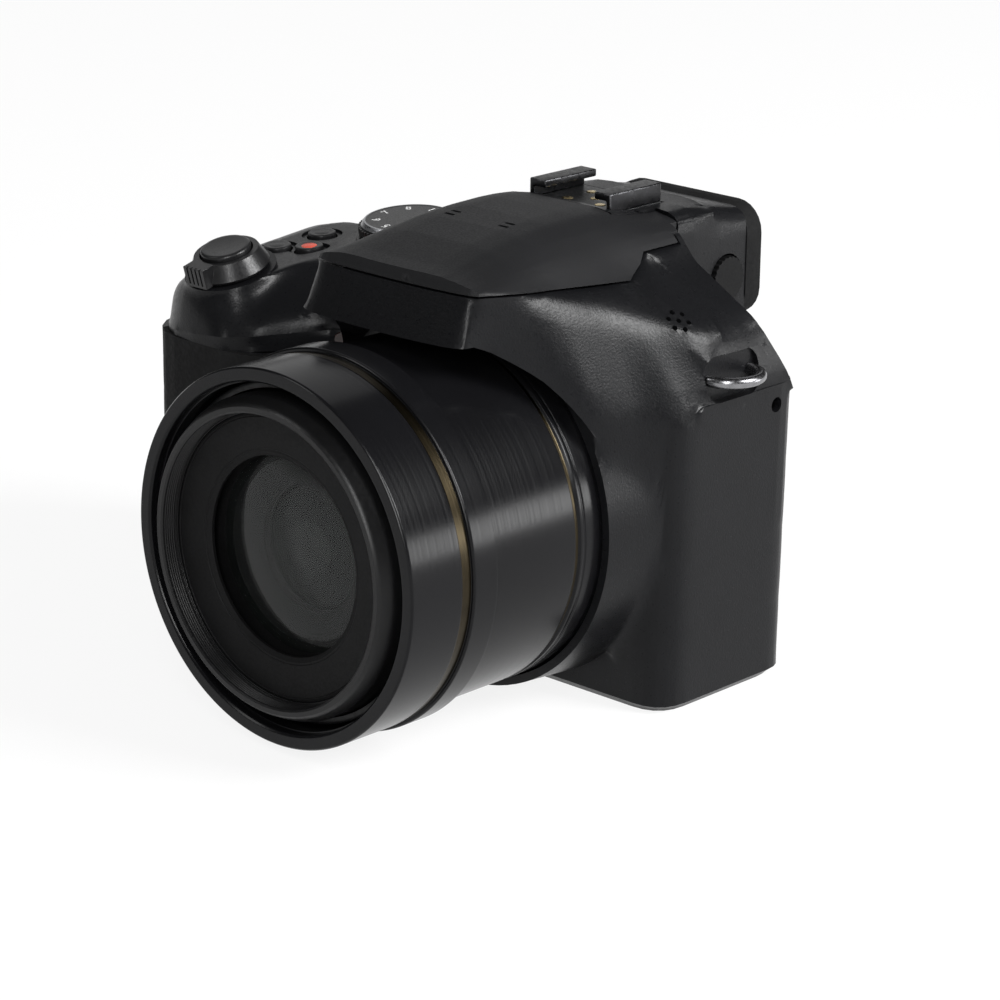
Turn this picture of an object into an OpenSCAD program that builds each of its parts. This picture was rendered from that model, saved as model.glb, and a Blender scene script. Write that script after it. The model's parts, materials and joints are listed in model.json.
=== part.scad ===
// Bridge camera: long zoom in a telescoping barrel, pop-up flash over the lens, finder hump and deep grip.
// Frame: origin in the mouth of the tripod socket, the lens looks along -Y, +X is the camera's own left,
// +Z is up. All sizes are millimetres.

/* [Body] */
// Lens axis to the left wall
left_w = 40.5; // [38:0.1:48]
// Lens axis to the grip side
right_w = 89.7; // [84:0.1:100]
// Tripod axis to the front face
front_d = 17.8; // [16:0.1:22]
// Tripod axis to the rear face
rear_d = 20.3; // [18:0.1:26]
// Height over the accessory shoe
body_h = 94.3; // [92:0.1:102]
// Wall of the moulded covers
wall = 1.8; // [1.2:0.1:2.4]
// Lean of the left wall over its height
left_draft = 0.9; // [0:0.1:2]
// Seam between front and rear cover, behind the tripod axis
seam_y = 3.5; // [0:0.1:6]
// Height of the top cover's lower edge at the grip
split_z = 55.5; // [50:0.1:60]
// Rise of that edge per millimetre towards the left
split_rise = 0.1; // [0:0.01:0.14]

/* [Grip] */
// Tripod axis to the front of the grip
grip_front = 35.2; // [32:0.1:42]
// Width of the grip
grip_w = 39.7; // [34:0.1:46]
// Outer front corner of the grip
grip_r = 17.5; // [10:0.5:18]
// Thickness of the rubber
rubber_t = 1.2; // [0.8:0.1:2]

/* [Deck] */
// Height of the deck under the shutter button
deck_z0 = 68.8; // [67:0.1:71]
// Slope of the deck, rising to the rear
deck_tilt = 5; // [3:0.5:8]
// Forward tilt of the shutter turret
turret_tilt = 16; // [10:0.5:18]
// Rise of the deck per millimetre towards the finder
deck_rise = 0.15; // [0.1:0.01:0.2]
// Shutter button behind the front of the grip
shutter_back = 10.7; // [10:0.1:14]
// Radius of the shutter button
shutter_r = 5.2; // [4:0.1:6]
// Radius of the zoom ring at its foot
zoom_r = 8.3; // [7.5:0.1:9]
// Radius of the mode dial
dial_r = 10.5; // [8:0.1:12]
// Height of the mode dial
dial_h = 4.2; // [3:0.1:5]
// Radius of the round top buttons
button_r = 2.9; // [2:0.1:3.2]

/* [Lens] */
// Height of the lens axis
axis_z = 37.8; // [37.5:0.1:40]
// Tripod axis to the front of the fixed ring
lens_reach = 81.2; // [75:0.1:91]
// Radius of the fixed barrel
barrel_r = 34.8; // [34:0.1:35]
// Bore of the fixed barrel
barrel_bore = 32.6; // [32:0.05:33]
// Gap between telescoping tubes
tube_gap = 0.4; // [0.25:0.05:0.6]
// Wall of the first telescoping tube
stage_wall = 1.3; // [0.9:0.1:1.5]
// Bore of the filter thread
filter_r = 27.5; // [26:0.05:28]
// Rim of the second tube ahead of the fixed ring
rim_proud = 1.8; // [1:0.1:4]
// Radius of the front lens element
glass_r = 18.6; // [16:0.1:20]

/* [Hump] */
// Half width of the lid's seat
lid_w = 23.5; // [22:0.1:25]
// Front of the nose ahead of the tripod axis
nose_d = 56; // [52:0.1:60]
// Half width of the nose at its front corners
nose_w = 21.7; // [20:0.1:23]
// Bow of the nose's front from its middle to its corners
nose_bow = 2; // [1:0.1:3]
// Rounding of the nose's corners
nose_r = 5; // [3:0.1:8]
// Lower edge of the nose
nose_z = 76; // [75:0.1:78]
// Lean of the nose
nose_lean = 24; // [15:0.5:28]
// Gap round the flash lid
lid_gap = 0.4; // [0.3:0.05:0.8]
// Half width of the finder
finder_w = 17.6; // [16:0.1:19]
// Eyecup behind the rear face
finder_d = 15.9; // [12:0.1:18]

/* [Shoe] */
// Width of the slot under the lips
shoe_slot = 18.6; // [18.5:0.1:18.8]
// Gap between the lips
shoe_gap = 12.5; // [12.4:0.1:12.8]
// Length of the shoe
shoe_l = 14.9; // [14:0.1:19]
// Height under the lips
shoe_clear = 2.2; // [2:0.1:2.4]
// Thickness of the lips
shoe_lip = 1.5; // [1:0.1:1.8]

/* [Rear] */
// Width of the screen glass
screen_w = 70; // [64:0.5:71]
// Height of the screen glass
screen_h = 51; // [46:0.5:52]
// Radius of the cursor pad
pad_r = 12.5; // [11:0.1:14]
// Radius of the set button
set_r = 4.8; // [4:0.1:5.5]
// Radius of the round rear buttons
key_r = 3.3; // [2.6:0.1:3.6]
// Radius of the rear dial
wheel_r = 7.5; // [6:0.1:8]

/* [Battery] */
// Width of the battery
battery_w = 32; // [30:0.1:33]
// Thickness of the battery
battery_t = 17; // [14:0.1:18]
// Height of the battery
battery_h = 44; // [38:0.1:45]

/* [Fit] */
// Running gap round buttons, dials and doors
gap = 0.35; // [0.25:0.05:0.5]
// Radius of the hinge pins
pin_r = 0.7; // [0.5:0.05:0.9]
// Bore of the tripod socket
socket_r = 3.175; // [2.5:0.005:5]

/* [Hidden] */

// Values worked out from the sizes above
grip_x = -right_w;
grip_in = grip_x + grip_w;
core_h = 60;
base_edge = 1.5;
step = 0.06;
side_r = 13.5;
rear_edge_z = 68;
hump_top = body_h - 1;
hump_ref = 17.3;
seat_z = rise(5.9);
shoe_z = body_h - shoe_lip - shoe_clear;
shoe_front = -2;
shoe_w = shoe_slot / 2 + 1.1;
finder_end = rear_d + finder_d - 5.7;
finder_low = nose_z - 11.5;
finder_top = shoe_z - 3;
finder_z = (finder_low + finder_top) / 2 + 0.95;
shutter_x = grip_x + 18.2;
shutter_y = shutter_back - grip_front;
turret_r = zoom_r + 1.2;
dial_x = grip_x + 37.7;
dial_y = 7.5;
dial_z = deck_z0 + 3.9;
throat_r = barrel_r + 0.4;
stage1_r = barrel_bore - tube_gap;
stage1_bore = stage1_r - stage_wall;
stage2_r = stage1_bore - tube_gap;
rim_front = lens_reach + rim_proud;
ring_seat = lens_reach - 21.5;
collar_h = 30.5;
collar_r = throat_r + 1.6;
arch_r = collar_r + 1.4;
arch_flare = 0.27;
ring_step = rim_front - 4.5;
hinge_y = 5.8;
hinge_z = rise(12);
hinge_r = rise(3.3) - nose_z;
arm_in = shoe_w + 2.6;
arm_out = 19.4;
sill_y = -4.5;
sweep_r = norm([hinge_y - sill_y - lid_gap, rise(16.1) - hinge_z]) + lid_gap;
screen_x = 2;
screen_z = 32;
screen_t = 1.2;
pad_x = grip_x + 27.7;
pad_z = 28;
battery_x = grip_x + 20.2;
battery_y = -9.5;
chamber_t = 1;
door_t = 2;
door_y0 = battery_y - battery_t / 2 - 2.4;
door_y1 = 6;
door_x0 = battery_x - battery_w / 2 - 0.3;
door_x1 = battery_x + battery_w / 2 + 0.3;
flap_t = 1.5;
flap_y0 = -9;
flap_y1 = 8;
flap_z0 = 13;
flap_z1 = 43;
lug_y = 0.5;
lug_z = nose_z - 11.8;
lug_r = 6.2;
lug2_y = lug_y + 7.5;
lug2_z = lug_z - 12.5;
bush_r = 5.6;
seat_h = 11;
neck_r = barrel_bore + 1.3;
groove_h = lens_reach - 15.2;
groove_w = 2.4;
stage1_back = 22;
stage1_front = lens_reach - 5.2;
stage2_back = 28;
stage2_bore = stage2_r - 1.2;
second_r = 12;
zoom_h = 4.2;
power_h = 1.3;
lamp_r = 1.6;
speaker_r = 3.9;
speaker_deep = 1.8;
lid_t = 1.6;
head_y = -47.2;
head_z = rise(2.7);
window_w = 27;
window_h = rise(5) - nose_z;
window_t = 2.2;
eye_r = (finder_top - finder_low) / 2 - 2.95;
dioptre_r = 4.6;
dioptre_y = 24.5;
dioptre_z = finder_z - 2.5;
wheel_h = 5.5;
wheel_x = grip_x + 13.5;
wheel_y = rear_d - 5.3;
wheel_z = 62;
thumb_x = grip_x + 13;
thumb_z = 48;
base_area = [-43, 33, -13.5, 15];
chamber_z = wall + 2.6 + 45.6;
door_hinge_y = door_y1 + 2.2;
door_hinge_z = 1.2;
top_buttons = [[grip_x + 22, -6], [grip_x + 15.4, -8.8], [grip_x + 17, 2.5]];
rear_keys = [[grip_x + 48, 56], [grip_x + 43, 47], [grip_x + 43, 9], [grip_x + 14, 9]];
screw_places = [[-39.5, -10], [-39.5, 11.5], [29.5, -10], [29.5, 11.5]];
contact_places = [[0, 7.6], [-4.2, 11.2], [4.2, 11.2], [-4.2, 4.2], [4.2, 4.2]];

// Outline helpers: corners are [x, y, trim], rounded by a short curve that starts trim before the corner
function plain(p) = [p.x, p.y];
function toward(p, q, t) = plain(p) + (plain(q) - plain(p)) * min(0.48, t / max(0.01, norm(plain(q) - plain(p))));
function bend(a, p, b, u) = (1 - u) * (1 - u) * a + 2 * u * (1 - u) * p + u * u * b;
function soft(c, n) = [
    for (i = [0 : len(c) - 1])
        let (p = c[i], q = c[(i + len(c) - 1) % len(c)], s = c[(i + 1) % len(c)])
            for (k = [0 : n]) bend(toward(p, q, p.z), plain(p), toward(p, s, p.z), k / n)];
function box_corners(x0, x1, y0, y1, r) = [[x0, y0, r], [x1, y0, r], [x1, y1, r], [x0, y1, r]];
function round_off(e, r) = e < r ? r - sqrt(max(0, r * r - (r - e) * (r - e))) : 0;
function deck_z(x, y) = deck_z0 + tan(deck_tilt) * (y - shutter_y) + deck_rise * max(0, x - shutter_x - 4);
function turret_z(y) = deck_z0 + tan(turret_tilt) * (y - shutter_y);
function split_at(x) = split_z + split_rise * (x + right_w);
// Height of a hump station: above the nose's edge it stretches with the hump
function rise(d) = nose_z + d * (d > 0 ? (hump_top - nose_z) / hump_ref : 1);

module skin(rows) {
    n = len(rows[0]);
    m = len(rows);
    polyhedron(points = [for (r = rows) each r], faces = concat(
        [[for (j = [0 : n - 1]) j]], [[for (j = [n - 1 : -1 : 0]) (m - 1) * n + j]],
        [for (i = [0 : m - 2], j = [0 : n - 1]) [i * n + j, (i + 1) * n + j, (i + 1) * n + (j + 1) % n]],
        [for (i = [0 : m - 2], j = [0 : n - 1]) [i * n + j, (i + 1) * n + (j + 1) % n, i * n + (j + 1) % n]]));
}

module stack(rows) {
    for (i = [0 : len(rows) - 2]) {
        hull() skin([rows[i], rows[i + 1]]);
    }
}

module pill(x0, x1, y0, y1, r, h) {
    hull() {
        for (x = [x0 + r, x1 - r], y = [y0 + r, y1 - r]) {
            translate([x, y, 0]) cylinder(r = r, h = h, $fn = 24);
        }
    }
}

module plate(x0, x1, y0, y1, r, h) {
    linear_extrude(height = h) polygon(soft(box_corners(x0, x1, y0, y1, r), 4));
}

// Places: lens axis with heights counted forwards, deck with its normal, rear face looking back
module on_lens(h = 0) {
    translate([0, -h, axis_z]) rotate([90, 0, 0]) children();
}

module on_deck(x, y) {
    translate([x, y, deck_z(x, y)]) rotate([deck_tilt, 0, 0]) children();
}

module on_turret() {
    translate([shutter_x, shutter_y, deck_z0]) rotate([turret_tilt, 0, 0]) children();
}

module on_rear(x, z) {
    translate([x, rear_d, z]) rotate([-90, 0, 0]) children();
}

// Body forms, each drawn in by t to make the inner side of a wall
module core_form(t) {
    stack([for (s = [[t, base_edge], [base_edge + t / 2, 0], [core_h / 2, 0], [core_h - t, 0]])
        let (g = s[1] + t, x1 = left_w - g - left_draft * (1 - s[0] / core_h))
            [for (p = soft([[grip_x + g, g - front_d, 2], [x1, g - front_d, 7], [x1, rear_d - g, 6],
                [grip_x + g, rear_d - g, 9]], t > 0 ? 3 : 5)) [p.x, p.y, s[0]]]]);
}

module grip_form(t) {
    stack([for (s = [[t + step, 2], [1 + t / 2, 0.7], [3, 0], [split_z + step, 0]])
        let (g = s[1] + t)
            [for (p = soft([[grip_x + step + g, g - grip_front, grip_r - t], [grip_in - g, g - grip_front, 12],
                [grip_in - g, 0, 0.5], [grip_x + step + g, 0, 0.5]], t > rubber_t ? 3 : 6)) [p.x, p.y, s[0]]]]);
}

// Front edge of the deck and of the wall under it, by the distance from the shutter button
function deck_edge(d) = shutter_y + lookup(d, [[-9, -8.4], [0, -9.4], [5, -8.2], [7.5, -5], [9.4, 2], [11, 11],
    [14, 14.5], [25, 15.5]]);
function deck_wall(d) = -grip_front + lookup(d, [[9, 0], [15, 4], [20, 12], [25, 17], [40, 18]]);

module deck_form(t) {
    skin([for (e = [0, 1, 2.5, 5, 8, 12, 18, 23, 25.5, 27.5, 29.5, 32, 36, 42, 52, right_w - 22])
        let (x = grip_x + step + max(e, t), d = max(e - t, 0), drop = round_off(d, side_r - t) + t,
            corner = t + step + round_off(d, grip_r - t), yr = rear_d - step - t - round_off(d, 9 - t),
            yw = deck_wall(x - shutter_x) + corner, ye = max(deck_edge(x - shutter_x) + t, yw + 1.5),
            ym = max(shutter_y + 8, ye + 2), ze = min(turret_z(ye), deck_z(x, ye)))
            [for (p = soft([[yr, 45, 0.5], [yr, rear_edge_z - drop, 4], [yr - 6.5, deck_z(x, yr - 6.5) - drop, 3],
                [ym, deck_z(x, ym) - drop, 3], [ye, ze - drop, 2.5], [yw, split_at(x) + 2 - t, 3],
                [yw, 45, 0.5]], t > 0 ? 1 : 3)) [x, p.x, p.y]]]);
    on_turret() translate([0, 0, -8]) cylinder(r = turret_r - t, h = 8 - t, $fn = 48);
}

// Hump stations along Y: the flank's foot, the ridge above it, the lid's seat, the lid's crease and its crown
function flank_x(y) = left_w - lookup(y, [[-58, 20.5], [-47, 18.5], [-38, 14], [-30, 7],
    [-22, 4.7], [-17.5, 2.9], [-14, 0.8], [-6, 0]]);
function flank_z(y) = rise(lookup(y, [[-58, -2], [-47, -3], [-38, -8], [-30, -16], [-22, -18], [-6, -16], [4, -14]]));
function ridge_x(y) = lookup(y, [[-58, 19.3], [-47, 20.9], [-30, 25.8], [-22, 28.4], [-14, 32.5], [-6, left_w - 2.7]]);
function ridge_z(y) = rise(lookup(y, [[-47, 8.9], [-38, 7.4], [-30, 5.2], [-22, 2.6], [-14, -0.8], [-6, -3.6]]));
function crown_z(y) = rise(lookup(y, [[-58, 10.3], [-47, 12.4], [-38, 14.8], [-30, 16.2], [-22, 17], [-12, 17.3],
    [-6, 16.8], [4, 14.7]]));
function crease_z(y) = rise(lookup(y, [[-58, 9.8], [-47, 10.3], [-38, 11.2], [-30, 11.7], [-14, 11.7], [-6, 12]]));
function seat_x(y) = lookup(y, [[-58, 19], [-47, 20.5], [-38, lid_w - 1.1], [-30, lid_w - 0.5], [-18, lid_w]]);
function seat_edge(y) = rise(lookup(y, [[-58, 9.4], [-47, 9.1], [-38, 7.9], [-30, 7], [-10, 6.2]]));

module hump_form(t) {
    right_x = [[-58, 20], [-47, 22], [-38, 26.5], [-30, 33], [-22, 38], [20, 40]];
    right_z = [[-58, -2], [-47, -3], [-38, -8], [-30, -18], [-22, -24]];
    difference() {
        intersection() {
            skin([for (y = [-58, -52, -47, -42, -38, -34, -30, -26, -22, -18, -14, -10, -6, 0, 6, rear_d - 2 * step - t])
                let (zc = crown_z(y) - t, zk = crease_z(y) - t, low = nose_z - (y < -16 ? 31 : 18))
                    [for (p = soft([[t - lookup(y, right_x), low, 0.2], [t - lookup(y, right_x), rise(lookup(y, right_z)), 3],
                        [t - seat_x(y) - 0.6, seat_edge(y) - t, 2], [t - 19, zk, 2], [-12.5, zc - 0.4, 4],
                        [12.5, zc - 0.4, 4], [19 - t, zk, 2], [seat_x(y) + 0.3 - t, seat_edge(y) + 0.3 - t, 1],
                        [ridge_x(y) - t, ridge_z(y) - t, 2], [flank_x(y) - t, flank_z(y), 3],
                        [flank_x(y) - 0.4 - t, low, 0.2]], t > 0 ? 1 : 2)) [p.x, y, p.y]]]);
            translate([0, -nose_d, nose_z]) rotate([-nose_lean, 0, 0]) translate([0, 0, -60])
                linear_extrude(height = 160) nose_plan(t);
        }
        arch_form(t);
        lean_cuts(t);
    }
}

// Plan of the nose: a shallow bow with rounded corners, and sides that spread behind them
module nose_plan(t) {
    x = nose_w - t;
    polygon(soft([[-x - 32, 75, 1], [-x, nose_bow + t, nose_r], [-x / 2.4, 0.25 * nose_bow + t, 6],
        [x / 2.4, 0.25 * nose_bow + t, 6], [x, nose_bow + t, nose_r], [x + 32, 75, 1], [x + 32, 140, 1],
        [-x - 32, 140, 1]], 4));
}

// Space under the nose that the barrel passes through: a flaring cone, cut level at the nose's edge
module arch_form(t) {
    intersection() {
        on_lens(collar_h - t) cylinder(r1 = arch_r + t, r2 = arch_r + t + 40 * arch_flare, h = 40, $fn = 90);
        translate([-60, -collar_h - 60, 0]) cube([120, 80, nose_z + t]);
    }
}

// Rear shoulders that lean forwards beside the finder
module lean_cuts(t) {
    translate([finder_w - t, 0, 0]) rotate([90, 0, 90])
        linear_extrude(height = 60) polygon([[rear_d - t, rise(-21)], [rear_d - 10.3 - t, rise(-4)],
            [rear_d - 13 - t, rise(6)], [rear_d - 13 - t, 2 * body_h], [60, 2 * body_h], [60, rise(-21)]]);
    translate([t - finder_w - 60, 0, 0]) rotate([90, 0, 90])
        linear_extrude(height = 60) polygon([[rear_d - t, rear_edge_z], [rear_d - 7 - t, rise(1)],
            [rear_d - 9 - t, 2 * body_h], [60, 2 * body_h], [60, rear_edge_z]]);
}

module finder_form(t) {
    stack([for (s = [[4, 0.5, 2.8], [14, 0.4, 2.7], [22, 0.2, 1.8], [finder_end - t, 0, 0]])
        let (w = finder_w + s[1] - t, z0 = finder_low + t, z1 = finder_top + s[2] - t)
            [for (p = soft([[-w, z0, 3], [-w, z1, 4.5], [w, z1, 4.5], [w, z0, 3]], 4)) [p.x, s[0], p.y]]]);
}

module collar_form(t) {
    intersection() {
        on_lens(13) cylinder(r1 = collar_r + 1.2 - t, r2 = collar_r - t, h = collar_h - 13, $fn = 96);
        translate([-60, -60, t]) cube([120, 90, 80]);
    }
}

module body_form(t) {
    core_form(t);
    grip_form(t);
    deck_form(t);
    hump_form(t);
    finder_form(t);
    collar_form(t);
}

// Regions that part the covers from one another
module above_split() {
    translate([0, 60, 0]) rotate([90, 0, 0]) linear_extrude(height = 130)
        polygon([[-120, split_at(-120)], [60, split_at(60)], [60, 120], [-120, 120]]);
}

module top_region() {
    intersection() {
        above_split();
        linear_extrude(height = 130) polygon([[-120, -60], [-27, -60], [-27, -5.2], [20, -5.2],
            [25, -1], [60, -1], [60, 10.5], [25, 10.5], [19, 14], [-19, 14], [-27, 60], [-120, 60]]);
    }
}

module lid_region(g) {
    rotate([90, 0, 90]) translate([0, 0, -lid_w - 1 - g]) linear_extrude(height = 2 * (lid_w + 1 + g))
        polygon([[-70, rise(10.6) - g], [-12, rise(6) - g], [-7 + g, rise(7.9) - g], [-4.5 + g, rise(9.6) - g],
            [hinge_y - 0.2 + g, rise(9.6) - g], [hinge_y - 0.2 + g, 2 * body_h], [-70, 2 * body_h]]);
}

// Clear space of the lid's arms and of the shoe between them
module shoe_block(g) {
    translate([-arm_in + g, sill_y + g, 60]) cube([2 * (arm_in - g), 60, 60]);
}

module lid_space(g) {
    difference() {
        lid_region(g);
        shoe_block(g);
    }
    arm_blocks(g);
}

module lug_block(g) {
    translate([30, lug_y - 9 - g, lug_z - 6 - g]) cube([20, 18 + 2 * g, 12 + 2 * g]);
}

module lug_pocket(x) {
    translate([x, lug_y, lug_z]) rotate([0, 90, 0]) translate([0, 0, -1.4]) pill(-4.3, 4.3, -7.5, 7.5, 3, 12);
}

module base_outline(g) {
    b = base_area;
    translate([0, 0, -1]) plate(b[0] - g, b[1] + g, b[2] - g, b[3] + g, 4, wall + 1 + step);
}

module door_outline(g) {
    translate([0, 0, -1]) plate(door_x0 - g, door_x1 + g, door_y0 - g, door_y1 + g, 2, 1 + wall + 2);
    translate([door_x0 + 4 - g, door_y1 - 1, -1]) cube([door_x1 - door_x0 - 8 + 2 * g, 5 + g, wall + 3]);
}

module flap_outline(g) {
    translate([grip_x - 1, 0, 0]) rotate([90, 0, 90])
        plate(flap_y0 - g, flap_y1 + g, flap_z0 - g, flap_z1 + g, 2, flap_t + 1 + g);
}

module rubber_zone() {
    difference() {
        translate([grip_x - 10, -60, 3]) cube([grip_w + 20, 60 - 14, 60]);
        translate([0, 0, -0.5]) above_split();
    }
}

module inner_space() {
    difference() {
        body_form(wall);
        translate([left_w - 5.2, lug_y - 8.5, lug_z - 5.5]) cube([10, 17, 11]);
        translate([grip_x - 5, lug2_y - 8.5, lug2_z - 5.5]) cube([7.7, 17, 10.5]);
        on_lens(13) cylinder(r = throat_r + 4, h = 2, $fn = 48);
        translate([grip_x, flap_y0 - 3, flap_z0 - 3]) cube([flap_t + gap + 0.8, flap_y1 - flap_y0 + 6, flap_z1 - flap_z0 + 6]);
    }
}

module lamp_at() {
    translate([grip_in + 5.4, -front_d - 2.1, 58.3]) rotate([83, 0, 9]) children();
}

module at_speaker() {
    translate([33.4, -8.4, rise(-0.8)]) rotate([0, 35, 0]) children();
}

module speaker_holes() {
    at_speaker() {
        translate([0, 0, -speaker_deep - 7]) cylinder(r = speaker_r + step, h = 7, $fn = 24);
        for (i = [0 : 5]) {
            rotate([0, 0, 60 * i]) translate([2.1, 0, -4]) cylinder(r = 0.55, h = 8, $fn = 12);
        }
        translate([0, 0, -4]) cylinder(r = 0.55, h = 8, $fn = 12);
    }
}

// Wells of the deck's controls and openings of the rear face
module deck_wells() {
    on_turret() translate([0, 0, -12]) cylinder(r = zoom_r - 1.6 + gap, h = 20, $fn = 48);
    for (b = top_buttons) {
        on_deck(b.x, b.y) {
            translate([0, 0, -8]) cylinder(r = button_r + gap, h = 20, $fn = 32);
            translate([0, 0, -0.5]) cylinder(r = button_r + 1.4, h = 5, $fn = 32);
        }
    }
    on_dial() {
        translate([0, 0, -8]) cylinder(r = 4 + gap, h = 20, $fn = 32);
        translate([0, 0, -0.3]) cylinder(r = dial_r + 1.2, h = 12, $fn = 48);
    }
}

module on_dial() {
    translate([dial_x, dial_y, dial_z]) rotate([deck_tilt, 0, 0]) children();
}

// Outline of the screen drawn in by e, with corners of size r
module screen_outline(e, r, h) {
    w = screen_w / 2 - e;
    t = screen_h / 2 - e;
    plate(screen_x - w, screen_x + w, screen_z - t, screen_z + t, r, h);
}

module rear_openings() {
    translate([0, rear_d + 1, 0]) rotate([90, 0, 0]) {
        screen_outline(0, 3, screen_t + 1);
        screen_outline(3, 2, 8);
    }
    on_rear(pad_x, pad_z) translate([0, 0, -6]) cylinder(r = pad_r + gap, h = 10, $fn = 48);
    for (k = rear_keys) {
        on_rear(k.x, k.y) translate([0, 0, -6]) cylinder(r = key_r + gap, h = 10, $fn = 32);
    }
    translate([wheel_x, wheel_y, wheel_z - wheel_h / 2 - gap]) cylinder(r = wheel_r + gap, h = wheel_h + 2 * gap, $fn = 32);
    translate([0, finder_end + 1, finder_z]) rotate([90, 0, 0]) cylinder(r = eye_r + step, h = 6, $fn = 40);
    translate([finder_w - 2.2, dioptre_y, dioptre_z]) rotate([0, 90, 0]) cylinder(r = dioptre_r + gap, h = 8, $fn = 48);
    translate([left_w - 3, 13, lug_z - 8.2]) rotate([0, 90, 0]) cylinder(r = 1.5, h = 6, $fn = 24);
}

module thumb_zone(g) {
    translate([0, rear_d + 3, 0]) rotate([90, 0, 0])
        pill(thumb_x - 7 - g, thumb_x + 7 + g, thumb_z - 6.5 - g, thumb_z + 6.5 + g, 4, 10);
}

module front_cover() {
    color("#26272a") difference() {
        body_form(0);
        inner_space();
        top_region();
        lid_space(lid_gap);
        difference() {
            translate([-150, seam_y, -1]) cube([300, 100, 140]);
            lug_block(0);
        }
        intersection() {
            difference() {
                grip_form(0);
                grip_form(rubber_t);
            }
            rubber_zone();
        }
        on_lens(6) cylinder(r = throat_r, h = 60, $fn = 96);
        base_outline(0);
        door_outline(gap);
        flap_outline(gap);
        lug_pocket(left_w - 0.6);
        right_lug_pocket();
        lamp_at() cylinder(r = lamp_r + step, h = 8, $fn = 32, center = true);
        speaker_holes();
        flash_key_hole(gap);
    }
}

module top_cover() {
    color("#232427") difference() {
        union() {
            difference() {
                intersection() {
                    body_form(0);
                    top_region();
                }
                inner_space();
                lid_space(lid_gap);
                deck_wells();
                translate([-shoe_w, shoe_front, shoe_z - 1.2]) cube([2 * shoe_w, shoe_l + 40, 20]);
                rear_openings();
                on_lens(12.5) cylinder(r = throat_r + 5, h = 3, $fn = 48);
            }
            hinge_ears();
        }
        translate([0, hinge_y, hinge_z]) rotate([0, 90, 0])
            cylinder(r = pin_r + 0.05, h = 2 * arm_in, $fn = 24, center = true);
    }
}

module rear_cover() {
    color("#26272a") difference() {
        body_form(0);
        inner_space();
        top_region();
        translate([-150, seam_y - 200, -1]) cube([300, 200, 140]);
        lug_block(0);
        lid_space(lid_gap);
        base_outline(0);
        door_outline(gap);
        flap_outline(gap);
        right_lug_pocket();
        rear_openings();
        translate([-shoe_w, shoe_front, shoe_z - 1.2]) cube([2 * shoe_w, shoe_l, 20]);
        thumb_recess();
        door_pin();
    }
}

module right_lug_pocket() {
    translate([grip_x + 1.4, lug2_y, lug2_z]) rotate([0, -90, 0]) pill(-4, 4, -7.5, 7.5, 3, 6);
}

module thumb_recess() {
    intersection() {
        thumb_zone(0);
        translate([-150, rear_d - 0.6, 0]) cube([300, 10, 100]);
    }
}

module grip_rubber() {
    color("#1b1b1c") intersection() {
        difference() {
            grip_form(0);
            grip_form(rubber_t);
        }
        rubber_zone();
    }
}

module thumb_rest() {
    color("#1b1b1c") hull() {
        translate([0, rear_d + 0.2, 0]) rotate([90, 0, 0]) pill(thumb_x - 7, thumb_x + 7, thumb_z - 6.5, thumb_z + 6.5, 4, 0.8);
        translate([0, rear_d + 1.4, 0]) rotate([90, 0, 0]) pill(thumb_x - 5, thumb_x + 4, thumb_z - 4.5, thumb_z + 4.5, 3, 0.8);
    }
}

module base_plate() {
    color("#202123") difference() {
        plate(base_area[0], base_area[1], base_area[2], base_area[3], 4, wall);
        translate([0, 0, -1]) cylinder(r = bush_r, h = wall + 2, $fn = 64);
        for (s = screw_places) {
            translate([s.x, s.y, -1]) cylinder(r = 0.9, h = wall + 2, $fn = 24);
            translate([s.x, s.y, -1]) cylinder(r = 1.8, h = 1.9, $fn = 24);
        }
    }
}

module case_screws() {
    color("#55575a") for (s = screw_places) {
        translate([s.x, s.y, 0.1]) difference() {
            union() {
                cylinder(r = 1.8, h = 0.8, $fn = 24);
                cylinder(r = 0.9, h = 4.5, $fn = 24);
            }
            translate([-1.2, -0.2, -1]) cube([2.4, 0.4, 1.35]);
            translate([-0.2, -1.2, -1]) cube([0.4, 2.4, 1.35]);
        }
    }
}

module tripod_bush() {
    color("#8a8c8f") difference() {
        union() {
            cylinder(r = bush_r, h = 7.5, $fn = 64);
            translate([0, 0, wall]) cylinder(r = bush_r + 2, h = 1.2, $fn = 64);
        }
        translate([0, 0, -1]) cylinder(r = socket_r, h = 7.5, $fn = 64);
    }
}

module lug_wire(x, y, z, side) {
    translate([x, y, z]) rotate([0, 0, side > 0 ? -90 : 90])
        rotate_extrude(angle = 180, $fn = 64) translate([lug_r, 0]) circle(r = 1.1, $fn = 24);
}

module strap_lugs() {
    color("#b9bbbe") {
        lug_wire(left_w - 2, lug_y, lug_z, 1);
        lug_wire(grip_x + 1.4, lug2_y, lug2_z, -1);
    }
}

module af_lamp_window() {
    color("#5a2c20") lamp_at() translate([0, 0, -2.2]) cylinder(r = lamp_r, h = 2.2, $fn = 32);
}

module speaker() {
    color("#303134") at_speaker() translate([0, 0, -speaker_deep - 2 - step]) cylinder(r = speaker_r - step, h = 2, $fn = 48);
}

// Lens: fixed tubes are turned profiles of radius against distance ahead of the tripod axis
module turned(points) {
    on_lens() rotate_extrude($fn = 128) polygon(points);
}

module lens_barrel() {
    color("#17181a") turned([[barrel_bore, seat_h], [barrel_r + 1.1, seat_h], [barrel_r + 1.1, seat_h + 2],
        [barrel_r, seat_h + 2], [barrel_r, 36], [barrel_r - 0.5, 36.3], [barrel_r - 0.5, 37.2], [barrel_r, 37.5],
        [barrel_r, ring_seat], [neck_r, ring_seat], [neck_r, lens_reach - 2], [barrel_bore, lens_reach - 2]]);
}

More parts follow.
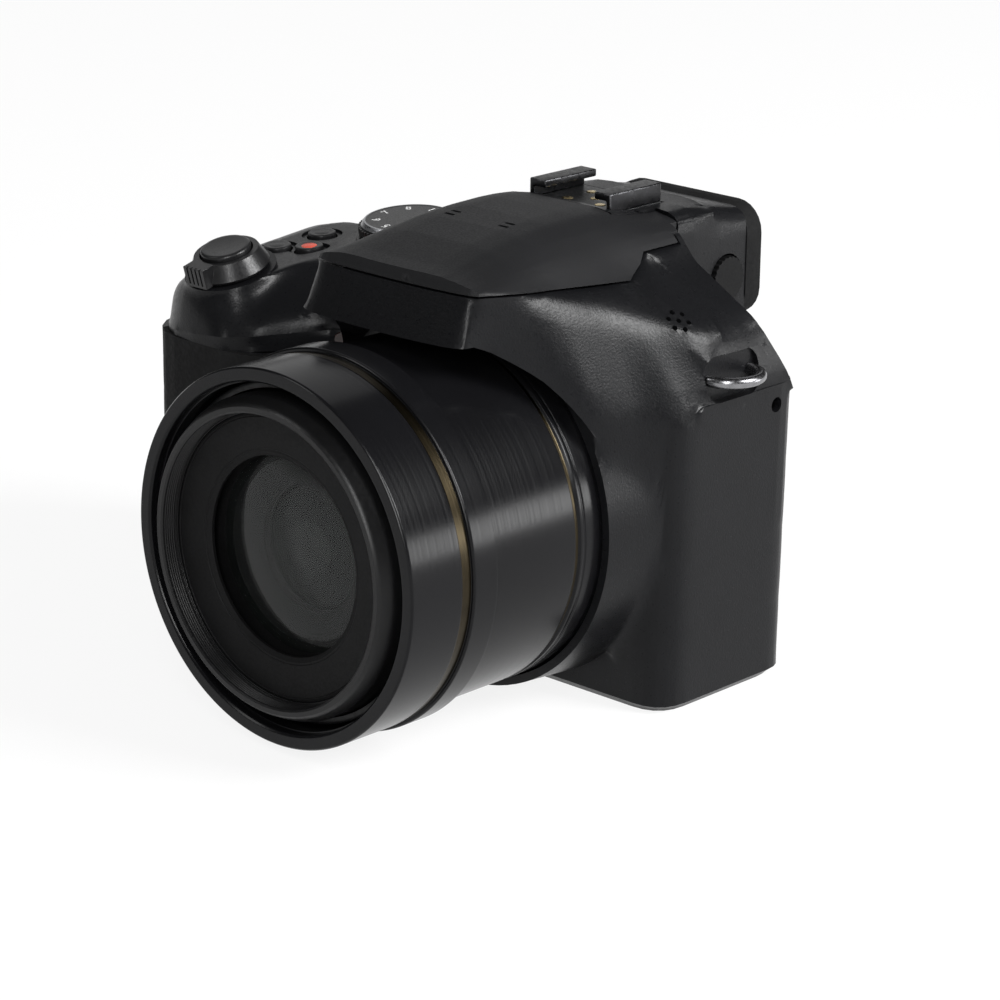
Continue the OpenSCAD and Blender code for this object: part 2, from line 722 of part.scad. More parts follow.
module lens_front_ring() {
    color("#1d1e20") turned([[neck_r, ring_seat], [barrel_r + 1.2, ring_seat], [barrel_r + 1.5, ring_seat + 0.4],
        [barrel_r + 1.5, groove_h - 0.5], [barrel_r + 1.1, groove_h], [barrel_r + 0.3, groove_h],
        [barrel_r + 0.3, groove_h + groove_w], [barrel_r + 0.7, groove_h + groove_w],
        [barrel_r + 0.9, groove_h + groove_w + 0.4], [barrel_r + 0.9, lens_reach - 0.6],
        [barrel_r + 0.4, lens_reach], [barrel_bore + 0.6, lens_reach], [barrel_bore + 0.3, lens_reach - 0.3],
        [barrel_bore + 0.3, lens_reach - 2], [neck_r, lens_reach - 2]]);
}

module lens_stage_1() {
    color("#141416") turned([[stage1_bore, stage1_back], [stage1_r, stage1_back], [stage1_r, stage1_front - 0.4],
        [stage1_r - 0.4, stage1_front], [stage1_bore, stage1_front]]);
}

module lens_stage_2() {
    color("#141416") turned([[stage2_bore, stage2_back], [stage2_r, stage2_back], [stage2_r, rim_front - 2.6],
        [filter_r + 1.7, rim_front - 0.4], [filter_r + 1.3, rim_front], [filter_r + 0.4, rim_front],
        [filter_r, rim_front - 0.4], [filter_r, ring_step + 1], [filter_r - 0.4, ring_step + 1],
        [filter_r - 0.4, ring_step], [filter_r - 1.5, ring_step],
        [filter_r - 1.5, ring_step - 2.2], [stage2_bore, ring_step - 2.2]]);
}

module name_ring() {
    color("#101012") turned([[glass_r + 0.3, ring_step - 0.8], [glass_r + 2, ring_step], [filter_r - 0.4, ring_step],
        [filter_r - 0.4, ring_step + 0.6], [filter_r - 0.8, ring_step + 0.9], [glass_r + 1.2, ring_step + 0.4],
        [glass_r + 0.3, ring_step - 0.2]]);
}

// Points of a domed end, from its rim to the axis
function dome(r, curve, top) = [for (i = [0 : 10]) let (x = r * (1 - i / 10))
    [x, top - curve + sqrt(curve * curve - x * x)]];

module front_glass() {
    color("#2c3a36") turned(concat([[0, ring_step - 3.9], [glass_r + 0.3, ring_step - 3.9]],
        dome(glass_r + 0.3, 62, ring_step - 0.6)));
}

module lens_baffle() {
    color("#0e0e10") turned([[glass_r + 0.3, ring_step - 3.9], [filter_r - 1.5, ring_step - 3.9],
        [filter_r - 1.5, ring_step - 2.2], [stage2_bore, ring_step - 2.2], [stage2_bore, ring_step - 5.5],
        [glass_r, ring_step - 5.5], [second_r + 1.6, ring_step - 19], [second_r, ring_step - 19],
        [second_r, ring_step - 16.5], [glass_r - 1.5, ring_step - 3.9]]);
}

module second_glass() {
    color("#39453f") turned(concat([[0, ring_step - 19], [second_r, ring_step - 19]], dome(second_r, 40, ring_step - 16.4)));
}

module lens_base() {
    color("#2a2b2d") turned([[9, seat_h - 2], [barrel_bore, seat_h - 2], [barrel_bore + 1, seat_h - 2],
        [barrel_bore + 1, seat_h], [13, seat_h], [12, seat_h + 6], [9, seat_h + 6]]);
}

module image_sensor() {
    color("#23482f") translate([-11, -seat_h + 2, axis_z - 10]) cube([22, 2.5, 20]);
}

// Pop-up flash
module flash_lid() {
    color("#2a2b2e") difference() {
        union() {
            difference() {
                intersection() {
                    hump_form(0);
                    lid_region(0);
                }
                shoe_block(0);
                translate([0, hinge_y, hinge_z]) rotate([0, 90, 0])
                    cylinder(r = sweep_r, h = 2 * arm_in, $fn = 96, center = true);
                difference() {
                    hump_form(lid_t);
                    arm_blocks(0);
                }
            }
            intersection() {
                arm_blocks(0);
                hump_form(0);
            }
            flash_head();
        }
        translate([0, hinge_y, hinge_z]) rotate([0, 90, 0])
            cylinder(r = pin_r + 0.05, h = 2 * (arm_in + 4), $fn = 24, center = true);
        mic_slots();
    }
}

module arm_blocks(g) {
    w = arm_out - arm_in + 2 * g;
    for (x = [-arm_out - g, arm_in - g]) {
        hull() {
            translate([x, hinge_y, hinge_z]) rotate([0, 90, 0]) cylinder(r = hinge_r + g, h = w, $fn = 32);
            translate([x, -9, rise(9.6) - g]) cube([w, 4, hinge_z + hinge_r - rise(9.6) + 2 * g]);
        }
    }
}

module flash_head() {
    difference() {
        intersection() {
            translate([-window_w / 2 - 2, head_y, head_z]) cube([window_w + 4, 9, hump_top - head_z]);
            hump_form(lid_t / 2);
        }
        translate([-window_w / 2, head_y - 1, head_z + 0.8]) cube([window_w, window_t + 1, window_h]);
    }
}

module mic_slots() {
    for (x = [-8.2, -5.6, 5.6, 8.2]) {
        hull() {
            translate([x - 0.5, -25.5, rise(9)]) cylinder(r = 0.4, h = body_h - rise(9), $fn = 12);
            translate([x + 0.5, -28.5, rise(9)]) cylinder(r = 0.4, h = body_h - rise(9), $fn = 12);
        }
    }
}

module flash_window() {
    color("#c9ccce") translate([-window_w / 2, head_y, head_z + 0.8]) cube([window_w, window_t, window_h]);
}

module flash_hinge_pins() {
    color("#a4a6a9") for (x = [-arm_in - 3.6, arm_in - 2.4]) {
        translate([x, hinge_y, hinge_z]) rotate([0, 90, 0]) cylinder(r = pin_r, h = 6, $fn = 24);
    }
}

// Ears under the shoe that carry the lid's hinge pins
module hinge_ears() {
    for (x = [-arm_in + lid_gap, arm_in - lid_gap - 2]) {
        hull() {
            translate([x, hinge_y, hinge_z]) rotate([0, 90, 0]) cylinder(r = 2, h = 2, $fn = 24);
            translate([x, hinge_y - 3, shoe_z - 1.7]) cube([2, 8, 0.4]);
        }
    }
}

module flash_key_at() {
    translate([-24.6, -9.5, rise(4)]) rotate([0, -65, 0]) children();
}

module flash_key_hole(g) {
    flash_key_at() translate([0, 0, -6]) cylinder(r = 2.6 + g, h = 12, $fn = 32);
}

module flash_button() {
    color("#2c2d30") flash_key_at() translate([0, 0, -3]) cylinder(r = 2.6, h = 4.2, $fn = 32);
}

// Accessory shoe
module shoe_plate() {
    color("#6e7073") translate([-shoe_w, shoe_front, shoe_z - 1.2]) difference() {
        cube([2 * shoe_w, shoe_l, 1.2]);
        for (c = contact_places) {
            translate([shoe_w + c.x, c.y, -1]) cylinder(r = 1.1, h = 4, $fn = 32);
        }
    }
}

module shoe_contacts() {
    color("#c7a75a") for (c = contact_places) {
        translate([c.x, shoe_front + c.y, shoe_z - 1.2]) cylinder(r = 1.1, h = 1.35, $fn = 32);
    }
}

module shoe_rails() {
    color("#7c7e81") for (m = [0, 1]) {
        mirror([m, 0, 0]) translate([0, shoe_front + shoe_l, 0]) rotate([90, 0, 0]) linear_extrude(height = shoe_l)
            polygon([[shoe_slot / 2, shoe_z], [shoe_w, shoe_z], [shoe_w, body_h], [shoe_gap / 2, body_h],
                [shoe_gap / 2, body_h - shoe_lip], [shoe_slot / 2, body_h - shoe_lip]]);
    }
}

// Deck controls
module shutter_button() {
    color("#1c1d1f") on_turret() {
        intersection() {
            cylinder(r = shutter_r, h = zoom_h + 1.3, $fn = 64);
            translate([0, 0, zoom_h + 1.1 - 30]) sphere(r = 30, $fn = 96);
        }
        translate([0, 0, -5]) cylinder(r = 2.4, h = 5.5, $fn = 32);
    }
}

module zoom_ring() {
    bore = shutter_r + gap;
    color("#222326") on_turret() difference() {
        union() {
            rotate_extrude($fn = 96) polygon([[bore, -4], [zoom_r - 1.6, -4], [zoom_r - 1.6, gap], [zoom_r - 0.3, gap],
                [zoom_r, gap + 0.6], [zoom_r - 0.4, gap + 1.4], [shutter_r + 1.5, zoom_h], [bore, zoom_h]]);
            translate([-2.9, -zoom_r - 1.1, gap]) cube([5.8, zoom_r - shutter_r, zoom_h - gap + 0.4]);
        }
        translate([0, 0, -1]) cylinder(r = bore, h = 12, $fn = 64);
        for (x = [-1.8, -0.6, 0.6, 1.8]) {
            translate([x - 0.2, -zoom_r - 2, gap + 0.6]) cube([0.4, 1.4, 6]);
        }
    }
}

module top_button(i, h) {
    on_deck(top_buttons[i].x, top_buttons[i].y) translate([0, 0, -5]) cylinder(r = button_r, h = h + 5, $fn = 48);
}

module movie_button() {
    color("#b23a2c") top_button(0, 0.9);
}

module burst_button() {
    color("#2c2d30") top_button(1, 0.6);
}

module function_button() {
    color("#2c2d30") top_button(2, 0.6);
}

module mode_dial() {
    teeth = 60;
    color("#2a2b2d") on_dial() {
        translate([0, 0, power_h + 2 * gap]) linear_extrude(height = dial_h - power_h - 1)
            polygon([for (i = [0 : 2 * teeth - 1]) let (r = dial_r - 0.5 * (i % 2), a = 180 * i / teeth)
                [r * cos(a), r * sin(a)]]);
        translate([0, 0, dial_h - 1 + 2 * gap]) cylinder(r1 = dial_r - 0.4, r2 = dial_r - 1.2, h = 1, $fn = 96);
        translate([0, 0, -5]) cylinder(r = 4, h = 6 + power_h, $fn = 48);
    }
}

module power_switch() {
    color("#1e1f21") on_dial() translate([0, 0, gap]) difference() {
        union() {
            cylinder(r = dial_r + 0.5, h = power_h, $fn = 96);
            rotate([0, 0, 125]) translate([dial_r - 2, -2, 0]) cube([4.2, 4, power_h]);
        }
        translate([0, 0, -1]) cylinder(r = 4 + gap, h = power_h + 2, $fn = 48);
    }
}

// Finder
module eyecup() {
    w = finder_w + 0.6;
    z0 = finder_low;
    z1 = finder_top;
    color("#18181a") difference() {
        hull() {
            translate([0, finder_end + 0.5, 0]) rotate([90, 0, 0]) pill(-w + 0.4, w - 0.4, z0 + 1, z1 - 0.2, 5, 0.5);
            translate([0, finder_end + 4, 0]) rotate([90, 0, 0]) pill(-w, w, z0 + 0.5, z1 + 0.4, 6, 2);
            translate([0, finder_end + 5.7, 0]) rotate([90, 0, 0]) pill(-w + 1.5, w - 1.5, z0 + 2, z1 - 1.1, 5, 1);
        }
        hull() {
            translate([0, finder_end + 6, 0]) rotate([90, 0, 0]) pill(-w + 3.2, w - 3.2, z0 + 3.7, z1 - 2, 5, 1);
            translate([0, finder_end + 1, 0]) rotate([90, 0, 0]) pill(-w + 5.2, w - 5.2, z0 + 4.5, z1 - 2.6, 5, 2);
        }
    }
}

module eyepiece_glass() {
    color("#2e3438") translate([0, finder_end, finder_z]) rotate([90, 0, 0]) cylinder(r = eye_r, h = wall + 0.4, $fn = 64);
}

module finder_display() {
    color("#1a2b3a") translate([-8, 12, finder_z - eye_r + 1.6])
        cube([16, finder_end - wall - 0.4 - 12, 2 * eye_r - 3.2]);
}

module diopter_dial() {
    teeth = 24;
    color("#2c2d30") translate([finder_w - 2, dioptre_y, dioptre_z]) rotate([0, 90, 0]) {
        linear_extrude(height = 3) polygon([for (i = [0 : 2 * teeth - 1])
            let (r = dioptre_r - 0.35 * (i % 2), a = 180 * i / teeth) [r * cos(a), r * sin(a)]]);
    }
}

// Rear face
module lcd_glass() {
    color("#0c0d10") translate([0, rear_d, 0]) rotate([90, 0, 0]) screen_outline(0, 3, screen_t);
}

module lcd_panel() {
    color("#15181d") translate([0, rear_d - screen_t, 0]) rotate([90, 0, 0]) screen_outline(3, 2, 3.5);
}

module main_board() {
    color("#1f5a35") translate([screen_x - screen_w / 2 + 4, rear_d - screen_t - 5, screen_z - screen_h / 2 + 4])
        cube([screen_w - 8, 1.5, screen_h - 8]);
}

module rear_key(k, h) {
    on_rear(k.x, k.y) translate([0, 0, -4]) cylinder(r = key_r, h = h + 4, $fn = 48);
}

module finder_button() {
    color("#2c2d30") rear_key(rear_keys[0], 0.7);
}

module playback_button() {
    color("#2c2d30") rear_key(rear_keys[1], 0.7);
}

module display_button() {
    color("#2c2d30") rear_key(rear_keys[2], 0.7);
}

module menu_button() {
    color("#2c2d30") rear_key(rear_keys[3], 0.7);
}

module pad_key(a) {
    color("#2a2b2e") on_rear(pad_x, pad_z) rotate([0, 0, a - 42]) translate([0, 0, -4])
        rotate_extrude(angle = 84, $fn = 96) polygon([[set_r + 2 * gap, 0], [pad_r, 0], [pad_r, 4.6], [pad_r - 0.6, 5],
            [set_r + 2 * gap, 4.6]]);
}

module up_key() {
    pad_key(-90);
}

module right_key() {
    pad_key(180);
}

module down_key() {
    pad_key(90);
}

module left_key() {
    pad_key(0);
}

module set_button() {
    color("#2c2d30") on_rear(pad_x, pad_z) translate([0, 0, -4]) cylinder(r = set_r, h = 4.8, $fn = 48);
}

module rear_dial() {
    teeth = 36;
    color("#242528") translate([wheel_x, wheel_y, wheel_z - wheel_h / 2]) linear_extrude(height = wheel_h)
        polygon([for (i = [0 : 2 * teeth - 1]) let (r = wheel_r - 0.4 * (i % 2), a = 180 * i / teeth)
            [r * cos(a), r * sin(a)]]);
}

// Battery and doors
module battery() {
    color("#34363a") translate([battery_x - battery_w / 2, battery_y - battery_t / 2, chamber_z - battery_h])
        cube([battery_w, battery_t, battery_h]);
}

module battery_chamber() {
    w = battery_w + 0.6;
    d = battery_t + 0.6;
    color("#3b3d40") translate([battery_x, battery_y, 0]) difference() {
        union() {
            translate([-w / 2 - chamber_t, -d / 2 - chamber_t, door_t + gap])
                cube([w + 2 * chamber_t, d + 2 * chamber_t, chamber_z - door_t - gap + chamber_t]);
            translate([-w / 2 + 3, -d / 2 - 5, wall + 2 * step]) cube([w - 6, 5, 1.6]);
        }
        translate([-w / 2, -d / 2, 0]) cube([w, d, chamber_z]);
        translate([-w, door_y0 - battery_y - gap - 0.05, 0]) cube([2 * w, 3 * d, door_t + gap]);
    }
}

module battery_door() {
    color("#202123") difference() {
        union() {
            plate(door_x0, door_x1, door_y0, door_y1, 2, door_t);
            translate([door_x0 + 4, door_hinge_y, door_hinge_z]) rotate([0, 90, 0])
                cylinder(r = 1.2, h = door_x1 - door_x0 - 8, $fn = 32);
            translate([door_x0 + 4, door_y1 - 1, 0]) cube([door_x1 - door_x0 - 8, 2.5, door_t]);
        }
        translate([door_x0, door_hinge_y, door_hinge_z]) rotate([0, 90, 0]) cylinder(r = pin_r + 0.05, h = door_x1 - door_x0, $fn = 24);
        translate([battery_x - 5, door_y0 + 2, -1]) cube([10, 9, 1 + 1.4]);
    }
}

module battery_latch() {
    color("#17181a") difference() {
        translate([battery_x - 5 + gap, door_y0 + 2 + gap, 0.1]) cube([10 - 2 * gap, 6, 0.95]);
        for (y = [1.5, 3, 4.5]) {
            translate([battery_x - 3, door_y0 + 2 + gap + y - 0.3, -0.4]) cube([6, 0.6, 1]);
        }
    }
}

module door_pin() {
    translate([door_x0 + 2.6, door_hinge_y, door_hinge_z]) rotate([0, 90, 0])
        cylinder(r = pin_r, h = door_x1 - door_x0 - 5.2, $fn = 24);
}

module battery_hinge_pin() {
    color("#a4a6a9") door_pin();
}

module terminal_door() {
    color("#222326") difference() {
        translate([grip_x, 0, 0]) rotate([90, 0, 90]) plate(flap_y0, flap_y1, flap_z0, flap_z1, 2, flap_t);
        translate([grip_x - 1, flap_y1 - 3, (flap_z0 + flap_z1) / 2 - 4]) cube([1.5, 1.4, 8]);
    }
}

front_cover();
top_cover();
rear_cover();
base_plate();
grip_rubber();
thumb_rest();
case_screws();
tripod_bush();
strap_lugs();
af_lamp_window();
speaker();
lens_barrel();
lens_front_ring();
lens_stage_1();
lens_stage_2();
name_ring();
front_glass();
lens_baffle();
second_glass();
lens_base();
image_sensor();
flash_lid();
flash_window();
flash_hinge_pins();
flash_button();
shoe_plate();
shoe_rails();
shoe_contacts();
shutter_button();
zoom_ring();
movie_button();
burst_button();
function_button();
mode_dial();
power_switch();
eyecup();
eyepiece_glass();
finder_display();
diopter_dial();
lcd_glass();
lcd_panel();
finder_button();
playback_button();
display_button();
menu_button();
up_key();
right_key();
down_key();
left_key();
set_button();
rear_dial();
battery();
battery_chamber();
battery_door();
battery_latch();
battery_hinge_pin();
terminal_door();
main_board();
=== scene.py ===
"""Bridge camera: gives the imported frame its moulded, turned and polished surfaces and stands it in a plain studio."""
import json
import math

import bmesh
import bpy
import numpy as np
from bpy.props import FloatProperty, FloatVectorProperty, IntProperty, PointerProperty
from mathutils import Matrix, Vector


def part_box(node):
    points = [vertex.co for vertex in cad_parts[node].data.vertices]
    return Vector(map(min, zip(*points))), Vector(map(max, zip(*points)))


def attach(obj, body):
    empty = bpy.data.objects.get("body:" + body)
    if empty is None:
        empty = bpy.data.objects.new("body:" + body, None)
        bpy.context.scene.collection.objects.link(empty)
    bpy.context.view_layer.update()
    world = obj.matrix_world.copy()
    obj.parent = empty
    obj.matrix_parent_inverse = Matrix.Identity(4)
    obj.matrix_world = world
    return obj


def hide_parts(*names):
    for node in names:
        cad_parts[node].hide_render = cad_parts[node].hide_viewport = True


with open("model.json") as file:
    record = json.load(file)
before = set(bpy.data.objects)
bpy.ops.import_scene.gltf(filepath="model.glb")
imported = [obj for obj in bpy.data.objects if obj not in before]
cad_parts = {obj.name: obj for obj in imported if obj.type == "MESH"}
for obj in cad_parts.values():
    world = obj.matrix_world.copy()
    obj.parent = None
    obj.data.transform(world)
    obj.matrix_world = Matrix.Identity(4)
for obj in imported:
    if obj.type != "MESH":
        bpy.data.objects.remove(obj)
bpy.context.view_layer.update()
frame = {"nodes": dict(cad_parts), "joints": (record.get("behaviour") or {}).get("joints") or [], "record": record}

bl_info = {
    "name": "Bridge camera finish",
    "version": (1, 0, 0),
    "blender": (4, 5, 0),
    "location": "3D View > Sidebar > Camera",
    "description": "Dresses the camera's CAD frame and sets up its studio",
    "category": "Object",
}

JOINTS = {j["name"]: j for j in frame["joints"]}
MM = 0.001
# Vertices closer than this, in mm, become one on a small piece and on a moulding
WELD, MOULDING_WELD = 0.02, 0.08


def middle(node):
    """Centre of a CAD node's box."""
    low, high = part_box(node)
    return (Vector(low) + Vector(high)) / 2


# Places: a matrix whose local Z runs out of the surface that carries the piece
AXIS_Z = middle("lens_barrel").z
LENS = Matrix.Translation((0, 0, AXIS_Z)) @ Matrix.Rotation(math.radians(90), 4, "X")


def along(axis, point):
    """Place whose local Z points along an axis, with local X kept level."""
    z = Vector(axis).normalized()
    x = Vector((1, 0, 0)) if abs(z.x) < 0.9 else Vector((0, 1, 0))
    y = z.cross(x).normalized()
    x = y.cross(z).normalized()
    m = Matrix((x, y, z)).transposed().to_4x4()
    m.translation = Vector(point)
    return m


class CAMERA_PG_sizes(bpy.types.PropertyGroup):
    """Sizes of the finish that a user may change."""

    facet: FloatProperty(name="Moulding step", description="Longest edge on a moulded cover",
                         default=1.3 * MM, min=0.5 * MM, max=4 * MM, unit="LENGTH", precision=5)
    crease: FloatProperty(name="Crease", description="Edges sharper than this stay crisp on a moulding",
                          default=math.radians(66), subtype="ANGLE")
    passes: IntProperty(name="Smoothing", description="Smoothing passes over a moulding", default=40, min=0, max=120)
    edge: FloatProperty(name="Edge rounding", description="Rounding of small edges",
                        default=0.18 * MM, min=0.02 * MM, max=1 * MM, unit="LENGTH", precision=5)
    sides: IntProperty(name="Turned sides", description="Sides of a large turned piece", default=192, min=48, max=360)
    knurls: IntProperty(name="Knurls", description="Teeth round the mode dial", default=60, min=24, max=90)


class CAMERA_PG_colours(bpy.types.PropertyGroup):
    """Colours of the finish that a user may change."""

    shell: FloatVectorProperty(name="Shell", description="Grained moulding", subtype="COLOR",
                               default=(0.0046, 0.0047, 0.0053), min=0, max=1)
    lid: FloatVectorProperty(name="Lid", description="Smooth moulding over the lens", subtype="COLOR",
                             default=(0.0066, 0.0067, 0.0074), min=0, max=1)
    rubber: FloatVectorProperty(name="Rubber", description="Grip and eyecup", subtype="COLOR",
                                default=(0.0055, 0.0055, 0.0057), min=0, max=1)
    barrel: FloatVectorProperty(name="Barrel", description="Anodised lens barrel", subtype="COLOR",
                                default=(0.0035, 0.0035, 0.0040), min=0, max=1)
    tube: FloatVectorProperty(name="Tube", description="Lens tubes and inner rings", subtype="COLOR",
                              default=(0.0042, 0.0042, 0.0045), min=0, max=1)
    steel: FloatVectorProperty(name="Steel", description="Polished wire and screws", subtype="COLOR",
                               default=(0.62, 0.62, 0.63), min=0, max=1)
    shoe: FloatVectorProperty(name="Shoe", description="Blackened shoe metal", subtype="COLOR",
                              default=(0.010, 0.010, 0.011), min=0, max=1)
    brass: FloatVectorProperty(name="Contacts", description="Plated contacts", subtype="COLOR",
                               default=(0.70, 0.56, 0.30), min=0, max=1)
    red: FloatVectorProperty(name="Record button", description="Red button cap", subtype="COLOR",
                             default=(0.42, 0.045, 0.022), min=0, max=1)
    mark: FloatVectorProperty(name="Marks", description="Printed numbers", subtype="COLOR",
                              default=(0.55, 0.55, 0.55), min=0, max=1)
    floor: FloatVectorProperty(name="Floor", description="Floor of the studio", subtype="COLOR",
                               default=(0.86, 0.86, 0.86), min=0, max=1)


def sizes():
    return bpy.context.scene.camera_sizes


def colours():
    return bpy.context.scene.camera_colours


# Modelling helpers
def clear():
    bpy.ops.object.select_all(action="DESELECT")


def only(obj):
    clear()
    obj.select_set(True)
    bpy.context.view_layer.objects.active = obj


def edit(obj, kind="FACE"):
    """Opens a piece for editing with nothing selected."""
    only(obj)
    bpy.ops.object.mode_set(mode="EDIT")
    bpy.ops.mesh.select_mode(type=kind)
    bpy.ops.mesh.select_all(action="DESELECT")


def leave():
    bpy.ops.object.mode_set(mode="OBJECT")


def pick(obj, test, kind="faces"):
    """Selects the faces, edges or verts of the piece in edit mode for which test(element) holds."""
    mesh = bmesh.from_edit_mesh(obj.data)
    found = 0
    for e in getattr(mesh, kind):
        if test(e):
            e.select_set(True)
            found += 1
    mesh.select_flush_mode()
    bmesh.update_edit_mesh(obj.data)
    if not found:
        raise RuntimeError(f"nothing to select on {obj.name}")


def put(obj, place):
    """Sets a piece in place and leaves the place in its mesh."""
    only(obj)
    obj.matrix_world = place
    bpy.ops.object.transform_apply(location=True, rotation=True, scale=True)


def soften(obj, width=None, segments=2, angle=35, material=None):
    """Rounds the sharp edges of a piece."""
    only(obj)
    m = obj.modifiers.new("edges", "BEVEL")
    m.width = width or sizes().edge
    m.segments = segments
    m.limit_method = "ANGLE"
    m.angle_limit = math.radians(angle)
    m.miter_outer = "MITER_ARC"
    if material is not None:
        m.material = material
    bpy.ops.object.modifier_apply(modifier=m.name)


def sleek(obj, angle=40):
    only(obj)
    bpy.ops.object.shade_smooth_by_angle(angle=math.radians(angle))


def level(obj):
    """Lets the large faces rule the shading, so that flats between rounded edges stay flat."""
    only(obj)
    m = obj.modifiers.new("shading", "WEIGHTED_NORMAL")
    m.keep_sharp = True
    bpy.ops.object.modifier_apply(modifier=m.name)


def copied(node, name, merge=WELD):
    """Copy of a CAD node's mesh as a piece of its own, welded."""
    obj = bpy.data.objects.new(name, frame["nodes"][node].data.copy())
    bpy.context.scene.collection.objects.link(obj)
    obj.data.materials.clear()
    edit(obj, "VERT")
    bpy.ops.mesh.select_all(action="SELECT")
    bpy.ops.mesh.remove_doubles(threshold=merge * MM)
    leave()
    return obj


def finished(obj, look, body, slot, *nodes):
    """Gives a piece its material and its body, and hides the CAD nodes that it stands for."""
    if look is not None:
        obj.data.materials.clear()
        obj.data.materials.append(look)
    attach(obj, body)
    if nodes:
        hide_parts(*nodes)
    return obj


def reach(node, place):
    """Radius, lowest and highest point of a CAD node round a place's axis, in mm."""
    co = np.array([v.co[:] for v in frame["nodes"][node].data.vertices])
    at = (np.array(place.inverted()) @ np.c_[co, np.ones(len(co))].T)[:3].T / MM
    return float(np.hypot(at[:, 0], at[:, 1]).max()), float(at[:, 2].min()), float(at[:, 2].max())


def body_of(node):
    for body, members in frame["record"]["behaviour"]["bodies"].items():
        if node in members:
            return body
    raise RuntimeError(f"no body holds {node}")


def slot_of(node):
    return next(p["material_slot"] for p in frame["record"]["subparts"] if p["node"] == node)


def dressed(node, look, name=None, width=None, angle=35, flat=3, smooth=40):
    """CAD node with its flats joined, its edges rounded and its rounds shaded smooth."""
    obj = copied(node, name or f"{node}_finished")
    edit(obj)
    bpy.ops.mesh.select_all(action="SELECT")
    bpy.ops.mesh.dissolve_limited(angle_limit=math.radians(flat))
    leave()
    soften(obj, width, angle=angle)
    sleek(obj, smooth)
    level(obj)
    return finished(obj, look, body_of(node), slot_of(node), node)


FIRM_CREASE = math.radians(28)
FAR = math.inf
# Low and high corners, in mm, of the foot, the back and the surroundings of the left and right strap lugs
FIRM_BOXES = (((-FAR, -FAR, -FAR), (FAR, FAR, 5)), ((-FAR, 17, -FAR), (FAR, FAR, 68)),
              ((30, -8, 58.5), (FAR, 12, 71)), ((-FAR, 0, 44), (-82, 16, 60)))
# Rounds of splitting that may be needed to bring every edge under the moulding step
SPLITS = 7


def firm(point):
    """Whether small edges stay crisp at a point in mm."""
    return any(all(a < p < b for a, p, b in zip(low, point, high)) for low, high in FIRM_BOXES)


def edge_lengths(mesh):
    co = np.empty(len(mesh.vertices) * 3)
    mesh.vertices.foreach_get("co", co)
    ends = np.empty(len(mesh.edges) * 2, dtype=np.int32)
    mesh.edges.foreach_get("vertices", ends)
    co, ends = co.reshape(-1, 3), ends.reshape(-1, 2)
    return np.linalg.norm(co[ends[:, 0]] - co[ends[:, 1]], axis=1), ends


def select_only(mesh, verts=None, edges=None):
    """Marks verts or edges as the selection that edit mode opens with."""
    nv, ne, nf = len(mesh.vertices), len(mesh.edges), len(mesh.polygons)
    mesh.vertices.foreach_set("select", np.zeros(nv, dtype=bool) if verts is None else verts)
    mesh.edges.foreach_set("select", np.zeros(ne, dtype=bool) if edges is None else edges)
    mesh.polygons.foreach_set("select", np.zeros(nf, dtype=bool))


def moulded(node, look, crease=None, passes=None, facet=None, edge=None, soft=None, ready=None):
    """CAD cover as a soft moulding: small even facets, smoothed between its crisp edges, which are then rounded."""
    s = sizes()
    crease, passes, facet = crease or s.crease, s.passes if passes is None else passes, facet or s.facet
    obj = copied(node, f"{node}_moulded", MOULDING_WELD)
    if ready:
        ready(obj)
    edit(obj, "EDGE")
    pick(obj, lambda e: e.calc_face_angle(0) > crease
         or e.calc_face_angle(0) > FIRM_CREASE and firm((e.verts[0].co + e.verts[1].co) / 2 / MM), "edges")
    bpy.ops.mesh.mark_sharp()
    leave()
    tool = bpy.context.tool_settings
    for _ in range(SPLITS):
        long = edge_lengths(obj.data)[0] > facet
        if not long.any():
            break
        tool.mesh_select_mode = (False, True, False)
        select_only(obj.data, edges=long)
        only(obj)
        bpy.ops.object.mode_set(mode="EDIT")
        bpy.ops.mesh.subdivide(number_cuts=1)
        bpy.ops.mesh.select_all(action="SELECT")
        bpy.ops.mesh.quads_convert_to_tris(quad_method="SHORTEST_DIAGONAL")
        leave()
    ends = edge_lengths(obj.data)[1]
    sharp = np.empty(len(obj.data.edges), dtype=bool)
    obj.data.edges.foreach_get("use_edge_sharp", sharp)
    co = np.empty(len(obj.data.vertices) * 3)
    obj.data.vertices.foreach_get("co", co)
    co = co.reshape(-1, 3) / MM
    if soft:
        sharp &= ~soft(*co.T)[ends].all(axis=1)
    obj.data.edges.foreach_set("use_edge_sharp", sharp)
    free = np.ones(len(co), dtype=bool)
    free[ends[sharp].ravel()] = False
    tool.mesh_select_mode = (True, False, False)
    select_only(obj.data, verts=free)
    only(obj)
    bpy.ops.object.mode_set(mode="EDIT")
    bpy.ops.mesh.vertices_smooth(factor=0.5, repeat=passes)
    leave()
    if edge:
        soften(obj, edge, segments=2, angle=math.degrees(crease))
    sleek(obj, math.degrees(crease))
    return finished(obj, look, body_of(node), slot_of(node), node)


def supported(profile, ring, near=0.3):
    """Profile with a point close to both ends of each long stretch, so that flats shade flat."""
    points = []
    for a, b in zip(profile, profile[1:] + profile[:1] if ring else profile[1:]):
        points.append(a)
        length = math.dist(a, b)
        if length > 3 * near:
            points += [tuple(a[i] + (b[i] - a[i]) * t for i in (0, 1)) for t in (near / length, 1 - near / length)]
    return points if ring else points + [profile[-1]]


